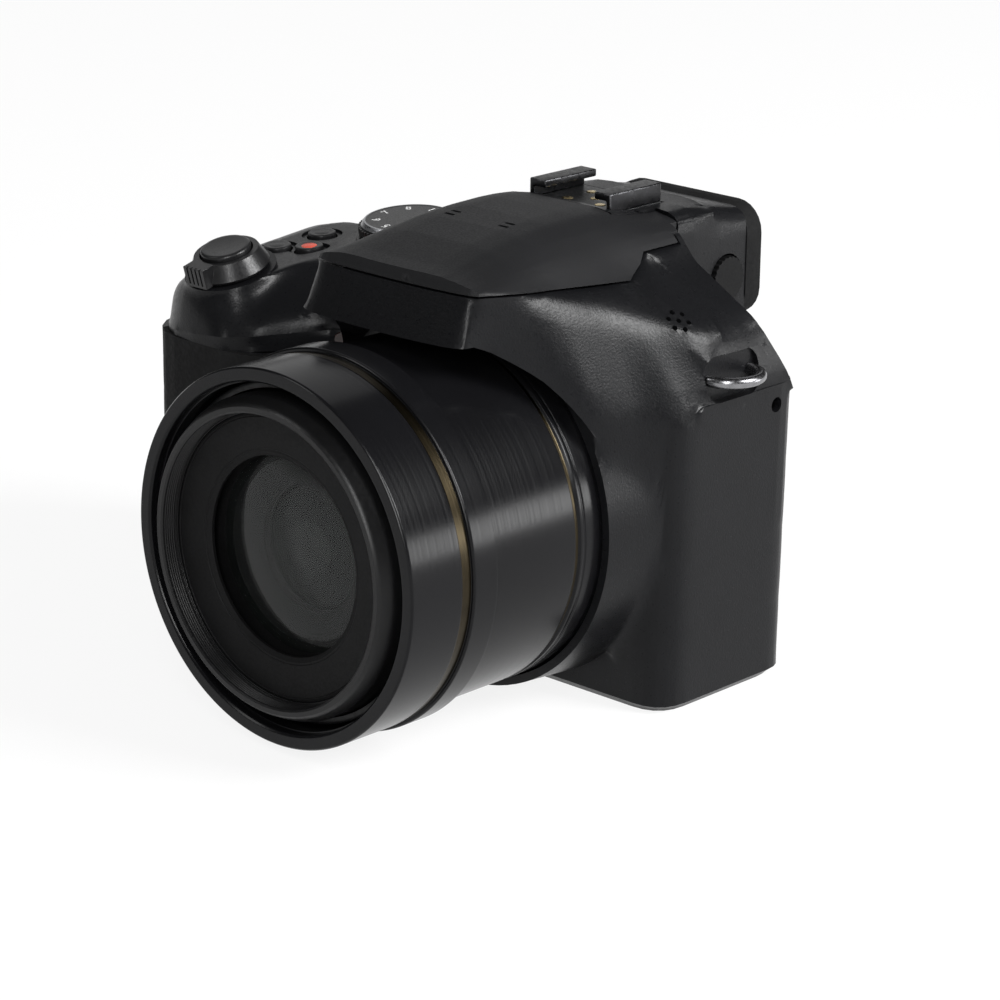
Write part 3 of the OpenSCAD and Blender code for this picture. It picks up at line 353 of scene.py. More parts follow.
def turned(name, profile, place, sides=None, ring=False, tip=False, cap=False):
    """Piece turned round local Z from (radius, height) points in mm: a ring joins its ends, a tip closes on the axis."""
    sides = sides or sizes().sides
    profile = supported(profile, ring)
    clear()
    r0, h0 = profile[0]
    bpy.ops.mesh.primitive_circle_add(vertices=sides, radius=r0 * MM, fill_type="NGON" if cap else "NOTHING",
                                      location=(0, 0, 0))
    obj = bpy.context.object
    obj.name = obj.data.name = name
    bpy.ops.object.mode_set(mode="EDIT")
    bpy.ops.mesh.select_mode(type="EDGE")
    bpy.ops.mesh.select_all(action="SELECT")
    bpy.ops.transform.translate(value=(0, 0, h0 * MM))
    rest = list(profile[1:]) + ([profile[0]] if ring else [])
    r, h = r0, h0
    for r1, h1 in rest:
        bpy.ops.mesh.extrude_edges_move(TRANSFORM_OT_translate={"value": (0, 0, (h1 - h) * MM)})
        if abs(r1 - r) > 1e-7:
            k = r1 / r
            bpy.ops.transform.resize(value=(k, k, 1), center_override=(0, 0, h1 * MM))
        r, h = r1, h1
    if tip:
        bpy.ops.mesh.merge(type="CENTER")
    bpy.ops.mesh.select_all(action="SELECT")
    bpy.ops.mesh.remove_doubles(threshold=0.001 * MM)
    bpy.ops.mesh.normals_make_consistent(inside=False)
    leave()
    put(obj, place)
    return obj


def joined(name, objs):
    clear()
    for o in objs:
        o.select_set(True)
    bpy.context.view_layer.objects.active = objs[0]
    bpy.ops.object.join()
    objs[0].name = objs[0].data.name = name
    return objs[0]


# Materials
LOOKS = {}


class Look:
    """Builds one procedural material on object coordinates and files it under a key."""

    # Sockets of a Mix node that carry colours
    DARK, LIGHT, RESULT = 6, 7, 2

    def __init__(self, key, name, colour, rough, metallic=0.0, specular=0.5):
        self.material = LOOKS[key] = bpy.data.materials.new(name)
        self.material.use_nodes = True
        self.tree = self.material.node_tree
        self.shader = self.tree.nodes["Principled BSDF"]
        self.colour = tuple(colour)
        self.set("Base Color", (*self.colour, 1))
        self.set("Roughness", rough)
        self.set("Metallic", metallic)
        self.set("Specular IOR Level", specular)
        self.coords = self.node("ShaderNodeTexCoord").outputs["Object"]

    def set(self, socket, value):
        self.shader.inputs[socket].default_value = value

    def node(self, kind, **values):
        n = self.tree.nodes.new(kind)
        for k, v in values.items():
            setattr(n, k, v)
        return n

    def link(self, a, b):
        self.tree.links.new(a, b)

    def noise(self, size, detail=2.0, stretch=None):
        """Noise with features of about that size in mm; stretch scales the coordinates first."""
        n = self.node("ShaderNodeTexNoise")
        n.inputs["Scale"].default_value = 1000 / size
        n.inputs["Detail"].default_value = detail
        source = self.coords
        if stretch:
            m = self.node("ShaderNodeMapping")
            m.inputs["Scale"].default_value = stretch
            self.link(source, m.inputs["Vector"])
            source = m.outputs["Vector"]
        self.link(source, n.inputs["Vector"])
        return n.outputs["Fac"]

    def cells(self, size):
        """Distance to the middles of cells of about that size in mm."""
        n = self.node("ShaderNodeTexVoronoi")
        n.inputs["Scale"].default_value = 1000 / size
        self.link(self.coords, n.inputs["Vector"])
        return n.outputs["Distance"]

    def rings(self, pitch, centre):
        """Fine turning lines: waves along the distance from the lens axis and along it."""
        m = self.node("ShaderNodeMapping")
        m.inputs["Location"].default_value = (0, 0, -centre)
        self.link(self.coords, m.inputs["Vector"])
        split = self.node("ShaderNodeSeparateXYZ")
        self.link(m.outputs["Vector"], split.inputs["Vector"])
        flat = self.node("ShaderNodeCombineXYZ")
        self.link(split.outputs["X"], flat.inputs["X"])
        self.link(split.outputs["Z"], flat.inputs["Y"])
        far = self.node("ShaderNodeVectorMath", operation="LENGTH")
        self.link(flat.outputs["Vector"], far.inputs[0])
        add = self.node("ShaderNodeMath", operation="ADD")
        self.link(far.outputs["Value"], add.inputs[0])
        self.link(split.outputs["Y"], add.inputs[1])
        line = self.node("ShaderNodeTexNoise", noise_dimensions="1D")
        line.inputs["Scale"].default_value = 1000 / pitch
        line.inputs["Detail"].default_value = 3
        self.link(add.outputs["Value"], line.inputs["W"])
        return line.outputs["Fac"]

    def spread(self, fac, low, high, a=0.3, b=0.7):
        n = self.node("ShaderNodeMapRange")
        for socket, v in (("From Min", a), ("From Max", b), ("To Min", low), ("To Max", high)):
            n.inputs[socket].default_value = v
        self.link(fac, n.inputs["Value"])
        return n.outputs["Result"]

    def vary(self, fac, dark=0.8, light=1.2, a=0.3, b=0.7):
        """Base colour that wanders between a darker and a lighter shade."""
        ramp = self.node("ShaderNodeMix", data_type="RGBA")
        ramp.inputs[self.DARK].default_value = (*[c * dark for c in self.colour], 1)
        ramp.inputs[self.LIGHT].default_value = (*[min(1, c * light) for c in self.colour], 1)
        self.link(self.spread(fac, 0, 1, a, b), ramp.inputs[0])
        self.link(ramp.outputs[self.RESULT], self.shader.inputs["Base Color"])
        return self

    def wear(self, fac, low, high, a=0.3, b=0.7):
        self.link(self.spread(fac, low, high, a, b), self.shader.inputs["Roughness"])
        return self

    def mottle(self, shade, dark, light, patch, low, high):
        """Colour and roughness that wander over noise, each of a (size, detail)."""
        return self.vary(self.noise(*shade), dark, light).wear(self.noise(*patch), low, high)

    def bump(self, fac, depth, strength):
        """Relief of that depth in mm."""
        n = self.node("ShaderNodeBump")
        n.inputs["Distance"].default_value = depth * MM
        n.inputs["Strength"].default_value = strength
        self.link(fac, n.inputs["Height"])
        earlier = self.shader.inputs["Normal"].links
        if earlier:
            self.link(earlier[0].from_socket, n.inputs["Normal"])
        self.link(n.outputs["Normal"], self.shader.inputs["Normal"])
        return self


def make_looks():
    """Makes every material, in the colours that the panel holds."""
    c = colours()
    shell = Look("shell", "shell_grain", c.shell, 0.32, specular=0.14)
    shell.mottle((14, 3), 0.9, 1.12, (0.6, 2), 0.27, 0.37)
    shell.bump(shell.noise(0.42, 1.5), 0.035, 0.9)
    lid = Look("lid", "lid_satin", c.lid, 0.46, specular=0.16)
    lid.mottle((18, 3), 0.92, 1.1, (0.4, 2), 0.46, 0.58)
    lid.bump(lid.noise(0.18, 1.5), 0.012, 0.6)
    rubber = Look("rubber", "rubber_leather", c.rubber, 0.8, specular=0.12)
    rubber.mottle((6, 3), 0.85, 1.2, (1.0, 3), 0.72, 0.88)
    rubber.bump(rubber.cells(0.7), 0.05, 0.7).bump(rubber.noise(0.3, 2), 0.012, 0.5)
    barrel = Look("barrel", "barrel_anodised", c.barrel, 0.2, specular=0.15)
    barrel.vary(barrel.noise(20, 2), 0.9, 1.15).wear(barrel.rings(0.6, AXIS_Z), 0.17, 0.25)
    barrel.bump(barrel.rings(0.22, AXIS_Z), 0.0005, 0.5)
    gold = Look("gold", "groove_bright", (0.034, 0.027, 0.016), 0.2, metallic=1.0)
    gold.vary(gold.noise(4, 3), 0.75, 1.15).wear(gold.rings(0.2, AXIS_Z), 0.2, 0.36)
    tube = Look("tube", "tube_satin", c.tube, 0.36, specular=0.25)
    tube.mottle((10, 2), 0.88, 1.15, (0.7, 2), 0.31, 0.43)
    tube.bump(tube.rings(0.3, AXIS_Z), 0.003, 0.5)
    ring = Look("ring", "ring_matt", (0.0032, 0.0032, 0.0034), 0.5, specular=0.12)
    ring.mottle((5, 3), 0.85, 1.2, (0.5, 2), 0.54, 0.68)
    ring.bump(ring.noise(0.16, 1.5), 0.008, 0.6)
    wire = Look("wire", "wire_drawn", (0.26, 0.26, 0.27), 0.26, metallic=1.0)
    wire.mottle((2, 3), 0.8, 1.1, (0.6, 3), 0.2, 0.34)
    steel = Look("steel", "steel_polished", c.steel, 0.16, metallic=1.0)
    steel.mottle((3, 3), 0.85, 1.08, (0.8, 3), 0.11, 0.25)
    shoe = Look("shoe", "shoe_blackened", c.shoe, 0.33, metallic=0.75, specular=0.5)
    shoe.mottle((2.5, 4), 0.7, 1.7, (0.7, 3), 0.26, 0.46)
    shoe.bump(shoe.noise(0.12, 2, (1, 0.15, 1)), 0.004, 0.5)
    worn = Look("worn", "shoe_worn", (0.10, 0.10, 0.105), 0.28, metallic=1.0)
    worn.mottle((0.9, 4), 0.25, 1.2, (0.5, 3), 0.2, 0.42)
    plate = Look("plate", "shoe_floor", (0.030, 0.031, 0.032), 0.36, metallic=0.9)
    plate.mottle((1.6, 4), 0.7, 1.4, (0.5, 3), 0.3, 0.48)
    brass = Look("brass", "contact_plated", c.brass, 0.24, metallic=1.0)
    brass.mottle((1.2, 4), 0.75, 1.08, (0.5, 2), 0.18, 0.34)
    button = Look("button", "button_satin", (0.0075, 0.0075, 0.0080), 0.38, specular=0.3)
    button.mottle((3, 2), 0.88, 1.15, (0.4, 2), 0.31, 0.43)
    button.bump(button.noise(0.15, 1.5), 0.004, 0.5)
    dial = Look("dial", "dial_anodised", (0.0085, 0.0085, 0.0090), 0.36, metallic=0.2, specular=0.35)
    dial.mottle((2, 3), 0.85, 1.2, (0.35, 2), 0.28, 0.42)
    dial.bump(dial.noise(0.14, 1.5), 0.005, 0.5)
    silver = Look("silver", "dial_edge", (0.34, 0.345, 0.36), 0.3, metallic=0.95)
    silver.mottle((1.5, 3), 0.85, 1.1, (0.4, 2), 0.24, 0.4)
    red = Look("red", "record_red", c.red, 0.34, specular=0.45)
    red.mottle((1.2, 3), 0.85, 1.12, (0.4, 2), 0.29, 0.41)
    lamp = Look("lamp", "lamp_lens", (0.012, 0.0035, 0.0025), 0.12, specular=0.4)
    lamp.mottle((0.6, 2), 0.7, 1.3, (0.8, 2), 0.08, 0.17)
    screen = Look("screen", "screen_gloss", (0.0045, 0.0045, 0.0055), 0.07, specular=0.5)
    screen.mottle((30, 2), 0.9, 1.1, (9, 3), 0.05, 0.11)
    panel = Look("panel", "screen_panel", (0.010, 0.011, 0.013), 0.3, specular=0.4)
    panel.vary(panel.cells(0.25), 0.85, 1.15).wear(panel.noise(6, 2), 0.26, 0.36)
    front = Look("front", "glass_coated", (0.006, 0.008, 0.007), 0.03, specular=0.8)
    front.set("Alpha", 0.2)
    front.mottle((9, 2), 0.9, 1.1, (8, 2), 0.02, 0.05)
    inner_glass = Look("inner_glass", "glass_inner", (0.0018, 0.0030, 0.0022), 0.16, specular=0.12)
    inner_glass.mottle((7, 2), 0.9, 1.1, (6, 2), 0.13, 0.2)
    # Paler glass for the middle of the inner element: painted reflection of light inside the lens.
    core_glass_painted_reflection = Look("core_glass_painted_reflection", "glass_core", (0.0075, 0.0095, 0.0080), 0.2, specular=0.2)
    core_glass_painted_reflection.mottle((3, 2), 0.85, 1.15, (4, 2), 0.16, 0.25)
    eye = Look("eye", "glass_eye", (0.012, 0.014, 0.018), 0.05, specular=0.7)
    eye.mottle((6, 2), 0.85, 1.15, (6, 2), 0.04, 0.08)
    clear_glass = Look("clear_glass", "flash_clear", (0.80, 0.82, 0.82), 0.18, specular=0.5)
    clear_glass.set("Transmission Weight", 0.6)
    clear_glass.wear(clear_glass.noise(1.2, 2), 0.14, 0.26)
    clear_glass.bump(clear_glass.noise(0.5, 1, (1, 1, 0.1)), 0.05, 0.5)
    board = Look("board", "board_green", (0.020, 0.105, 0.050), 0.42, specular=0.4)
    board.vary(board.cells(1.4), 0.6, 1.3, 0.1, 0.6).wear(board.noise(2, 2), 0.36, 0.52)
    inner = Look("inner", "inner_plastic", (0.045, 0.046, 0.048), 0.55, specular=0.35)
    inner.mottle((4, 3), 0.85, 1.15, (0.6, 2), 0.48, 0.62)
    inner.bump(inner.noise(0.3, 1.5), 0.01, 0.5)
    cloth = Look("cloth", "speaker_cloth", (0.009, 0.009, 0.009), 0.8, specular=0.2)
    cloth.vary(cloth.cells(0.2), 0.5, 1.5, 0.1, 0.6).wear(cloth.noise(0.3, 2), 0.72, 0.88)
    mark = Look("mark", "mark_print", c.mark, 0.5, specular=0.3)
    mark.mottle((0.3, 3), 0.85, 1.08, (0.4, 2), 0.44, 0.56)


def paint(node, look):
    """Gives a CAD node that stays shown a procedural material."""
    mesh = frame["nodes"][node].data
    mesh.materials.clear()
    mesh.materials.append(LOOKS[look])


def tinted(obj, test, base, second):
    """Gives a piece one material, and a second one where test(face) holds."""
    obj.data.materials.append(LOOKS[base])
    obj.data.materials.append(LOOKS[second])
    edit(obj)
    pick(obj, test)
    obj.active_material_index = 1
    bpy.ops.object.material_slot_assign()
    leave()


class CAMERA_OT_looks(bpy.types.Operator):
    """Make the materials of the camera"""

    bl_idname = "camera_finish.looks"
    bl_label = "Materials"

    def execute(self, context):
        make_looks()
        return {"FINISHED"}


def blended(x, y, z):
    """Where the collar, the shoulder and the left wall of the front cover flow into one another, in mm."""
    return (x > 25) & (y > -27) & (y < -9) & (z > 4) & (z < 63)


class CAMERA_OT_covers(bpy.types.Operator):
    """Mould the front, top and rear covers"""

    bl_idname = "camera_finish.covers"
    bl_label = "Covers"

    def execute(self, context):
        for node in ("front_cover", "top_cover", "rear_cover"):
            moulded(node, LOOKS["shell"], edge=0.2 * MM, soft=blended if node == "front_cover" else None)
        return {"FINISHED"}


# Sound slots of the lid, in mm: distance from the middle, the two rows, the middle height and the cutter's size
SLOT_X, SLOT_ROWS, SLOT_Z, SLOT_SIZE = 6.9, (-26.2, -28.0), 92.3, (2.6, 0.8, 2.2)


class CAMERA_OT_flash(bpy.types.Operator):
    """Mould the flash lid and fit its window, pins and button"""

    bl_idname = "camera_finish.flash"
    bl_label = "Flash"

    def execute(self, context):
        moulded("flash_lid", LOOKS["lid"], crease=math.radians(30), passes=6, facet=1.0 * MM, edge=0.16 * MM,
                ready=self.slots)
        dressed("flash_window", LOOKS["clear_glass"], width=0.3 * MM)
        dressed("flash_hinge_pins", LOOKS["steel"])
        dressed("flash_button", LOOKS["button"], width=0.35 * MM)
        return {"FINISHED"}

    def slots(self, lid):
        """Closes the plain sound slots of the lid and cuts short cross slots in their place."""
        def wall(f):
            c = f.calc_center_median() / MM
            return abs(f.normal.z) < 0.3 and 4.5 < abs(c.x) < 9.3 and -29 < c.y < -25
        edit(lid)
        pick(lid, wall)
        bpy.ops.mesh.delete(type="FACE")
        bpy.ops.mesh.select_all(action="SELECT")
        bpy.ops.mesh.fill_holes(sides=0)
        bpy.ops.mesh.quads_convert_to_tris()
        leave()
        cutters = []
        for x in (-SLOT_X, SLOT_X):
            for y in SLOT_ROWS:
                clear()
                bpy.ops.mesh.primitive_cube_add(size=1, location=[v * MM for v in (x, y, SLOT_Z)],
                                                scale=[v * MM for v in SLOT_SIZE])
                cutter = bpy.context.object
                bpy.ops.object.transform_apply(location=True, rotation=True, scale=True)
                edit(cutter, "EDGE")
                pick(cutter, lambda e: abs(e.verts[0].co.z - e.verts[1].co.z) > 1 * MM, "edges")
                bpy.ops.mesh.bevel(offset=0.39 * MM, segments=4)
                leave()
                cutters.append(cutter)
        cutter = joined("slot_cutter", cutters)
        only(lid)
        cut = lid.modifiers.new("slots", "BOOLEAN")
        cut.object, cut.operation, cut.solver = cutter, "DIFFERENCE", "EXACT"
        bpy.ops.object.modifier_apply(modifier=cut.name)
        bpy.data.objects.remove(cutter)


class CAMERA_OT_rubbers(bpy.types.Operator):
    """Mould the grip, thumb rest and eyecup"""

    bl_idname = "camera_finish.rubbers"
    bl_label = "Rubbers"

    def execute(self, context):
        moulded("grip_rubber", LOOKS["rubber"], crease=math.radians(40), passes=12, edge=0.25 * MM)
        moulded("thumb_rest", LOOKS["rubber"], crease=math.radians(45), passes=4, facet=0.8 * MM)
        moulded("eyecup", LOOKS["rubber"], crease=math.radians(33), passes=5, facet=0.9 * MM, edge=0.4 * MM)
        return {"FINISHED"}


class CAMERA_OT_barrel(bpy.types.Operator):
    """Turn the fixed barrel and its front ring"""

    bl_idname = "camera_finish.barrel"
    bl_label = "Lens barrel"

    def execute(self, context):
        seat = -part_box("lens_barrel")[1][1] / MM
        ring_low, ring_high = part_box("lens_front_ring")
        front, mouth = -ring_low[1] / MM, -ring_high[1] / MM
        seam, line = 34.6, 36.0
        wide = (ring_high[0] / MM) - 1.5
        bore = wide - 2.2
        neck = bore + 1.3
        barrel = turned("lens_barrel_turned", [
            (bore, seat), (wide + 1.1, seat), (wide + 1.1, seat + 2), (wide, seat + 2), (wide, seam),
            (wide - 0.12, seam + 0.12), (wide - 0.12, seam + 0.4), (wide, seam + 0.52), (wide, line),
            (wide - 0.5, line + 0.3), (wide - 0.5, line + 1.2),
            (wide, line + 1.5), (wide, mouth - 0.5), (wide - 0.25, mouth - 0.05), (neck, mouth - 0.05),
            (neck, front - 2),
            (bore, front - 2)], LENS, ring=True)
        self.stripe(barrel, line + 0.35, line + 1.15)
        soften(barrel, 0.06 * MM, angle=25)
        sleek(barrel, 28)
        finished(barrel, None, "body", "barrel", "lens_barrel")
        groove, width = front - 15.2, 2.4
        ring = turned("lens_front_ring_turned", [
            (neck, mouth), (wide + 1.25, mouth), (wide + 1.5, mouth + 0.25), (wide + 1.5, groove - 0.3),
            (wide + 1.2, groove), (wide + 0.8, groove), (wide + 0.72, groove + 0.08),
            (wide + 0.72, groove + width - 0.08), (wide + 0.8, groove + width), (wide + 0.9, groove + width + 0.1),
            (wide + 0.9, front - 0.35), (wide + 0.6, front), (bore + 0.7, front), (bore + 0.3, front - 0.4),
            (bore + 0.3, front - 2), (neck, front - 2)], LENS, ring=True)
        self.stripe(ring, groove + 0.15, groove + width - 0.15)
        soften(ring, 0.05 * MM, angle=25)
        sleek(ring, 20)
        finished(ring, None, "body", "barrel", "lens_front_ring")
        return {"FINISHED"}

    def stripe(self, obj, low, high):
        """Gives the floor of a groove between two heights its brighter metal."""
        def floor(f):
            c = f.calc_center_median()
            outward = f.normal.x * c.x + f.normal.z * (c.z - AXIS_Z) > 0
            return low < -c.y / MM < high and math.hypot(f.normal.x, f.normal.z) > 0.95 and outward
        tinted(obj, floor, "barrel", "gold")


class CAMERA_OT_tubes(bpy.types.Operator):
    """Turn the telescoping tubes, the inner ring and the baffle"""

    bl_idname = "camera_finish.tubes"
    bl_label = "Lens tubes"

    def execute(self, context):
        low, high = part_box("lens_stage_1")
        r, back, tip = high[0] / MM, -high[1] / MM, -low[1] / MM
        one = turned("lens_stage_1_turned", [
            (r - 1.3, back), (r, back), (r, tip - 1.6), (r - 0.12, tip - 1.5), (r - 0.12, tip - 1.2), (r, tip - 1.1),
            (r, tip - 0.4), (r - 0.12, tip - 0.12), (r - 0.4, tip), (r - 1.3, tip)], LENS, ring=True)
        sleek(one, 30)
        finished(one, LOOKS["tube"], "lens_stage_1", "tube", "lens_stage_1")
        low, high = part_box("lens_stage_2")
        r, back, rim = high[0] / MM, -high[1] / MM, -low[1] / MM
        thread = r - 3.0
        step = rim - 4.5
        lines, pitch = [], 0.5
        h = rim - pitch
        while h > step + 1.45:
            lines += [(thread + 0.02, h), (thread + 0.34, h - 0.19), (thread + 0.02, h - 0.38)]
            h -= pitch
        two = turned("lens_stage_2_turned", [
            (r - 1.2, back), (r, back), (r, rim - 2.9), (r - 0.18, rim - 2.5), (thread + 1.95, rim - 0.75),
            (thread + 1.72, rim - 0.32), (thread + 1.3, rim), (thread + 0.45, rim), (thread + 0.1, rim - 0.25)]
            + lines + [(thread, step + 1.2), (thread, step + 1), (thread - 0.4, step + 1), (thread - 0.4, step),
                       (thread - 1.5, step), (thread - 1.5, step - 2.2), (r - 1.2, step - 2.2)], LENS, ring=True)
        soften(two, 0.05 * MM, segments=1, angle=50)
        sleek(two, 30)
        finished(two, LOOKS["tube"], "lens_stage_2", "tube", "lens_stage_2")
        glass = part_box("front_glass")[1][0] / MM
        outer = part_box("name_ring")[1][0] / MM
        name = turned("name_ring_turned", [
            (glass, step - 0.8), (glass + 1.7, step), (outer, step), (outer, step + 0.55),
            (outer - 0.15, step + 0.78),
            (outer - 0.5, step + 0.86), (outer - 0.62, step + 0.72), (outer - 0.8, step + 0.72),
            (outer - 0.9, step + 0.84),
            (glass + 1.35, step + 0.44), (glass + 1.2, step + 0.28), (glass + 1.0, step + 0.26),
            (glass + 0.85, step + 0.3),
            (glass + 0.25, step - 0.05), (glass, step - 0.2)], LENS, ring=True)
        sleek(name, 25)
        finished(name, LOOKS["ring"], "lens_stage_2", "tube", "name_ring")
        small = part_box("second_glass")[1][0] / MM
        bore, count = small + 0.05, 8
        lip, floor = step - 6.6, step - 16.5
        steps = [(glass - 1.8, step - 3.9), (glass - 2.4, step - 4.3), (bore + 0.9, lip + 0.25), (bore + 0.35, lip)]
        for i in range(count):
            h = lip - (lip - floor) * (i + 0.5) / count
            steps += [(bore, h + 0.45), (bore, h), (bore + 0.4, h), (bore + 0.4, h - 0.3)]
        wall = r - 1.2
        baffle = turned("lens_baffle_turned", [
            (glass, step - 3.9), (thread - 1.5, step - 3.9), (thread - 1.5, step - 2.2), (wall, step - 2.2),
            (wall, step - 5.5), (glass - 0.3, step - 5.5), (small + 1.6, step - 19), (small, step - 19),
            (small, step - 16.5)]
            + steps[::-1], LENS, ring=True)
        sleek(baffle, 25)
        finished(baffle, LOOKS["ring"], "lens_stage_2", "tube", "lens_baffle")
        return {"FINISHED"}


def domed(name, r, curve, top, back, place, look, body, slot, node, sides=None):
    """Glass with a domed front of that curve radius and a flat back, in mm."""
    steps = 24
    points = [(r, back), (r, top - curve + math.sqrt(curve * curve - r * r))]
    for i in range(1, steps):
        x = r * (1 - i / steps)
        points.append((x, top - curve + math.sqrt(curve * curve - x * x)))
    obj = turned(name, points, place, sides, tip=True, cap=True)
    sleek(obj, 30)
    return finished(obj, look, body, slot, node)


class CAMERA_OT_glasses(bpy.types.Operator):
    """Grind the front, inner and eyepiece glasses"""

    bl_idname = "camera_finish.glasses"
    bl_label = "Glasses"

    def execute(self, context):
        low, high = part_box("front_glass")
        r, top, back = high[0] / MM, -low[1] / MM, -high[1] / MM
        domed("front_glass_ground", r - 0.02, 62, top, back + 0.02, LENS, LOOKS["front"],
              "lens_stage_2", "glass", "front_glass")
        low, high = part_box("second_glass")
        r, top, back = high[0] / MM, -low[1] / MM, -high[1] / MM
        domed("second_glass_ground", r - 0.02, 40, top, back, LENS, LOOKS["inner_glass"],
              "lens_stage_2", "glass", "second_glass")
        self.element(r, -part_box("name_ring")[0][1] / MM)
        low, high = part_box("eyepiece_glass")
        mid = middle("eyepiece_glass")
        deep = (high[1] - low[1]) / MM
        domed("eyepiece_glass_ground", (high[0] - low[0]) / 2 / MM - 0.02, 30, deep, 0.3,
              along((0, 1, 0), (mid.x, low[1], mid.z)), LOOKS["eye"], "body", "glass", "eyepiece_glass", sides=96)
        return {"FINISHED"}

    def element(self, r, face):
        """Dark element in the mouth of the baffle, with a paler core that is painted reflection."""
        top = face - 8.2
        points = [(r, top - 2.6), (r, top - 1.5), (r - 0.25, top - 1.1), (r - 0.7, top - 0.95)]
        steps = 12
        for i in range(1, steps):
            x = (r - 0.7) * (1 - i / steps)
            points.append((x, top - 0.95 * (x / (r - 0.7)) ** 2))
        obj = turned("second_element_ground", points, LENS, 128, tip=True, cap=True)

        # Faces of the paler middle, which is painted reflection.
        def core(f):
            c = f.calc_center_median()
            return -c.y / MM > top - 0.5 and math.hypot(c.x, c.z - AXIS_Z) / MM < 0.42 * r
        tinted(obj, core, "inner_glass", "core_glass_painted_reflection")
        sleek(obj, 20)
        finished(obj, None, "lens_stage_2", "glass")


class CAMERA_OT_shoe(bpy.types.Operator):
    """Fold the accessory shoe and set its contacts"""

    bl_idname = "camera_finish.shoe"
    bl_label = "Accessory shoe"

    def execute(self, context):
        rails = copied("shoe_rails", "shoe_rails_folded")
        edit(rails)
        bpy.ops.mesh.select_all(action="SELECT")
        bpy.ops.mesh.dissolve_limited(angle_limit=math.radians(3))
        leave()
        rails.data.materials.append(LOOKS["shoe"])
        rails.data.materials.append(LOOKS["worn"])
        soften(rails, 0.3 * MM, segments=3, angle=35, material=1)
        sleek(rails, 35)
        finished(rails, None, "body", "shoe_metal", "shoe_rails")
        dressed("shoe_plate", LOOKS["plate"], width=0.12 * MM)
        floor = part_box("shoe_plate")[1][2]
        tops = []
        for x, y, r in self.separate("shoe_contacts"):
            pin = turned("contact", [(r, -1.2), (r, 0.0), (r - 0.08, 0.09), (r - 0.3, 0.13), (0.5, 0.15),
            (0.3, 0.05)],
                         Matrix.Translation((x, y, floor)), sides=40, tip=True, cap=True)
            sleek(pin, 40)
            tops.append(pin)
        pins = joined("shoe_contacts_plated", tops)
        finished(pins, LOOKS["brass"], "body", "contact", "shoe_contacts")
        return {"FINISHED"}

    def separate(self, node):
        """Centres and radii (mm) of the round pieces of a CAD node, found on its top faces."""
        co = np.array([v.co[:] for v in frame["nodes"][node].data.vertices])
        top = co[co[:, 2] > co[:, 2].max() - 1e-5][:, :2]
        found = []
        while len(top):
            near = np.linalg.norm(top - top[0], axis=1) < 2.6 * MM
            group = top[near]
            mid = (group.min(0) + group.max(0)) / 2
            found.append((mid[0], mid[1], float(np.linalg.norm(group - mid, axis=1).max()) / MM))
            top = top[~near]
        return found


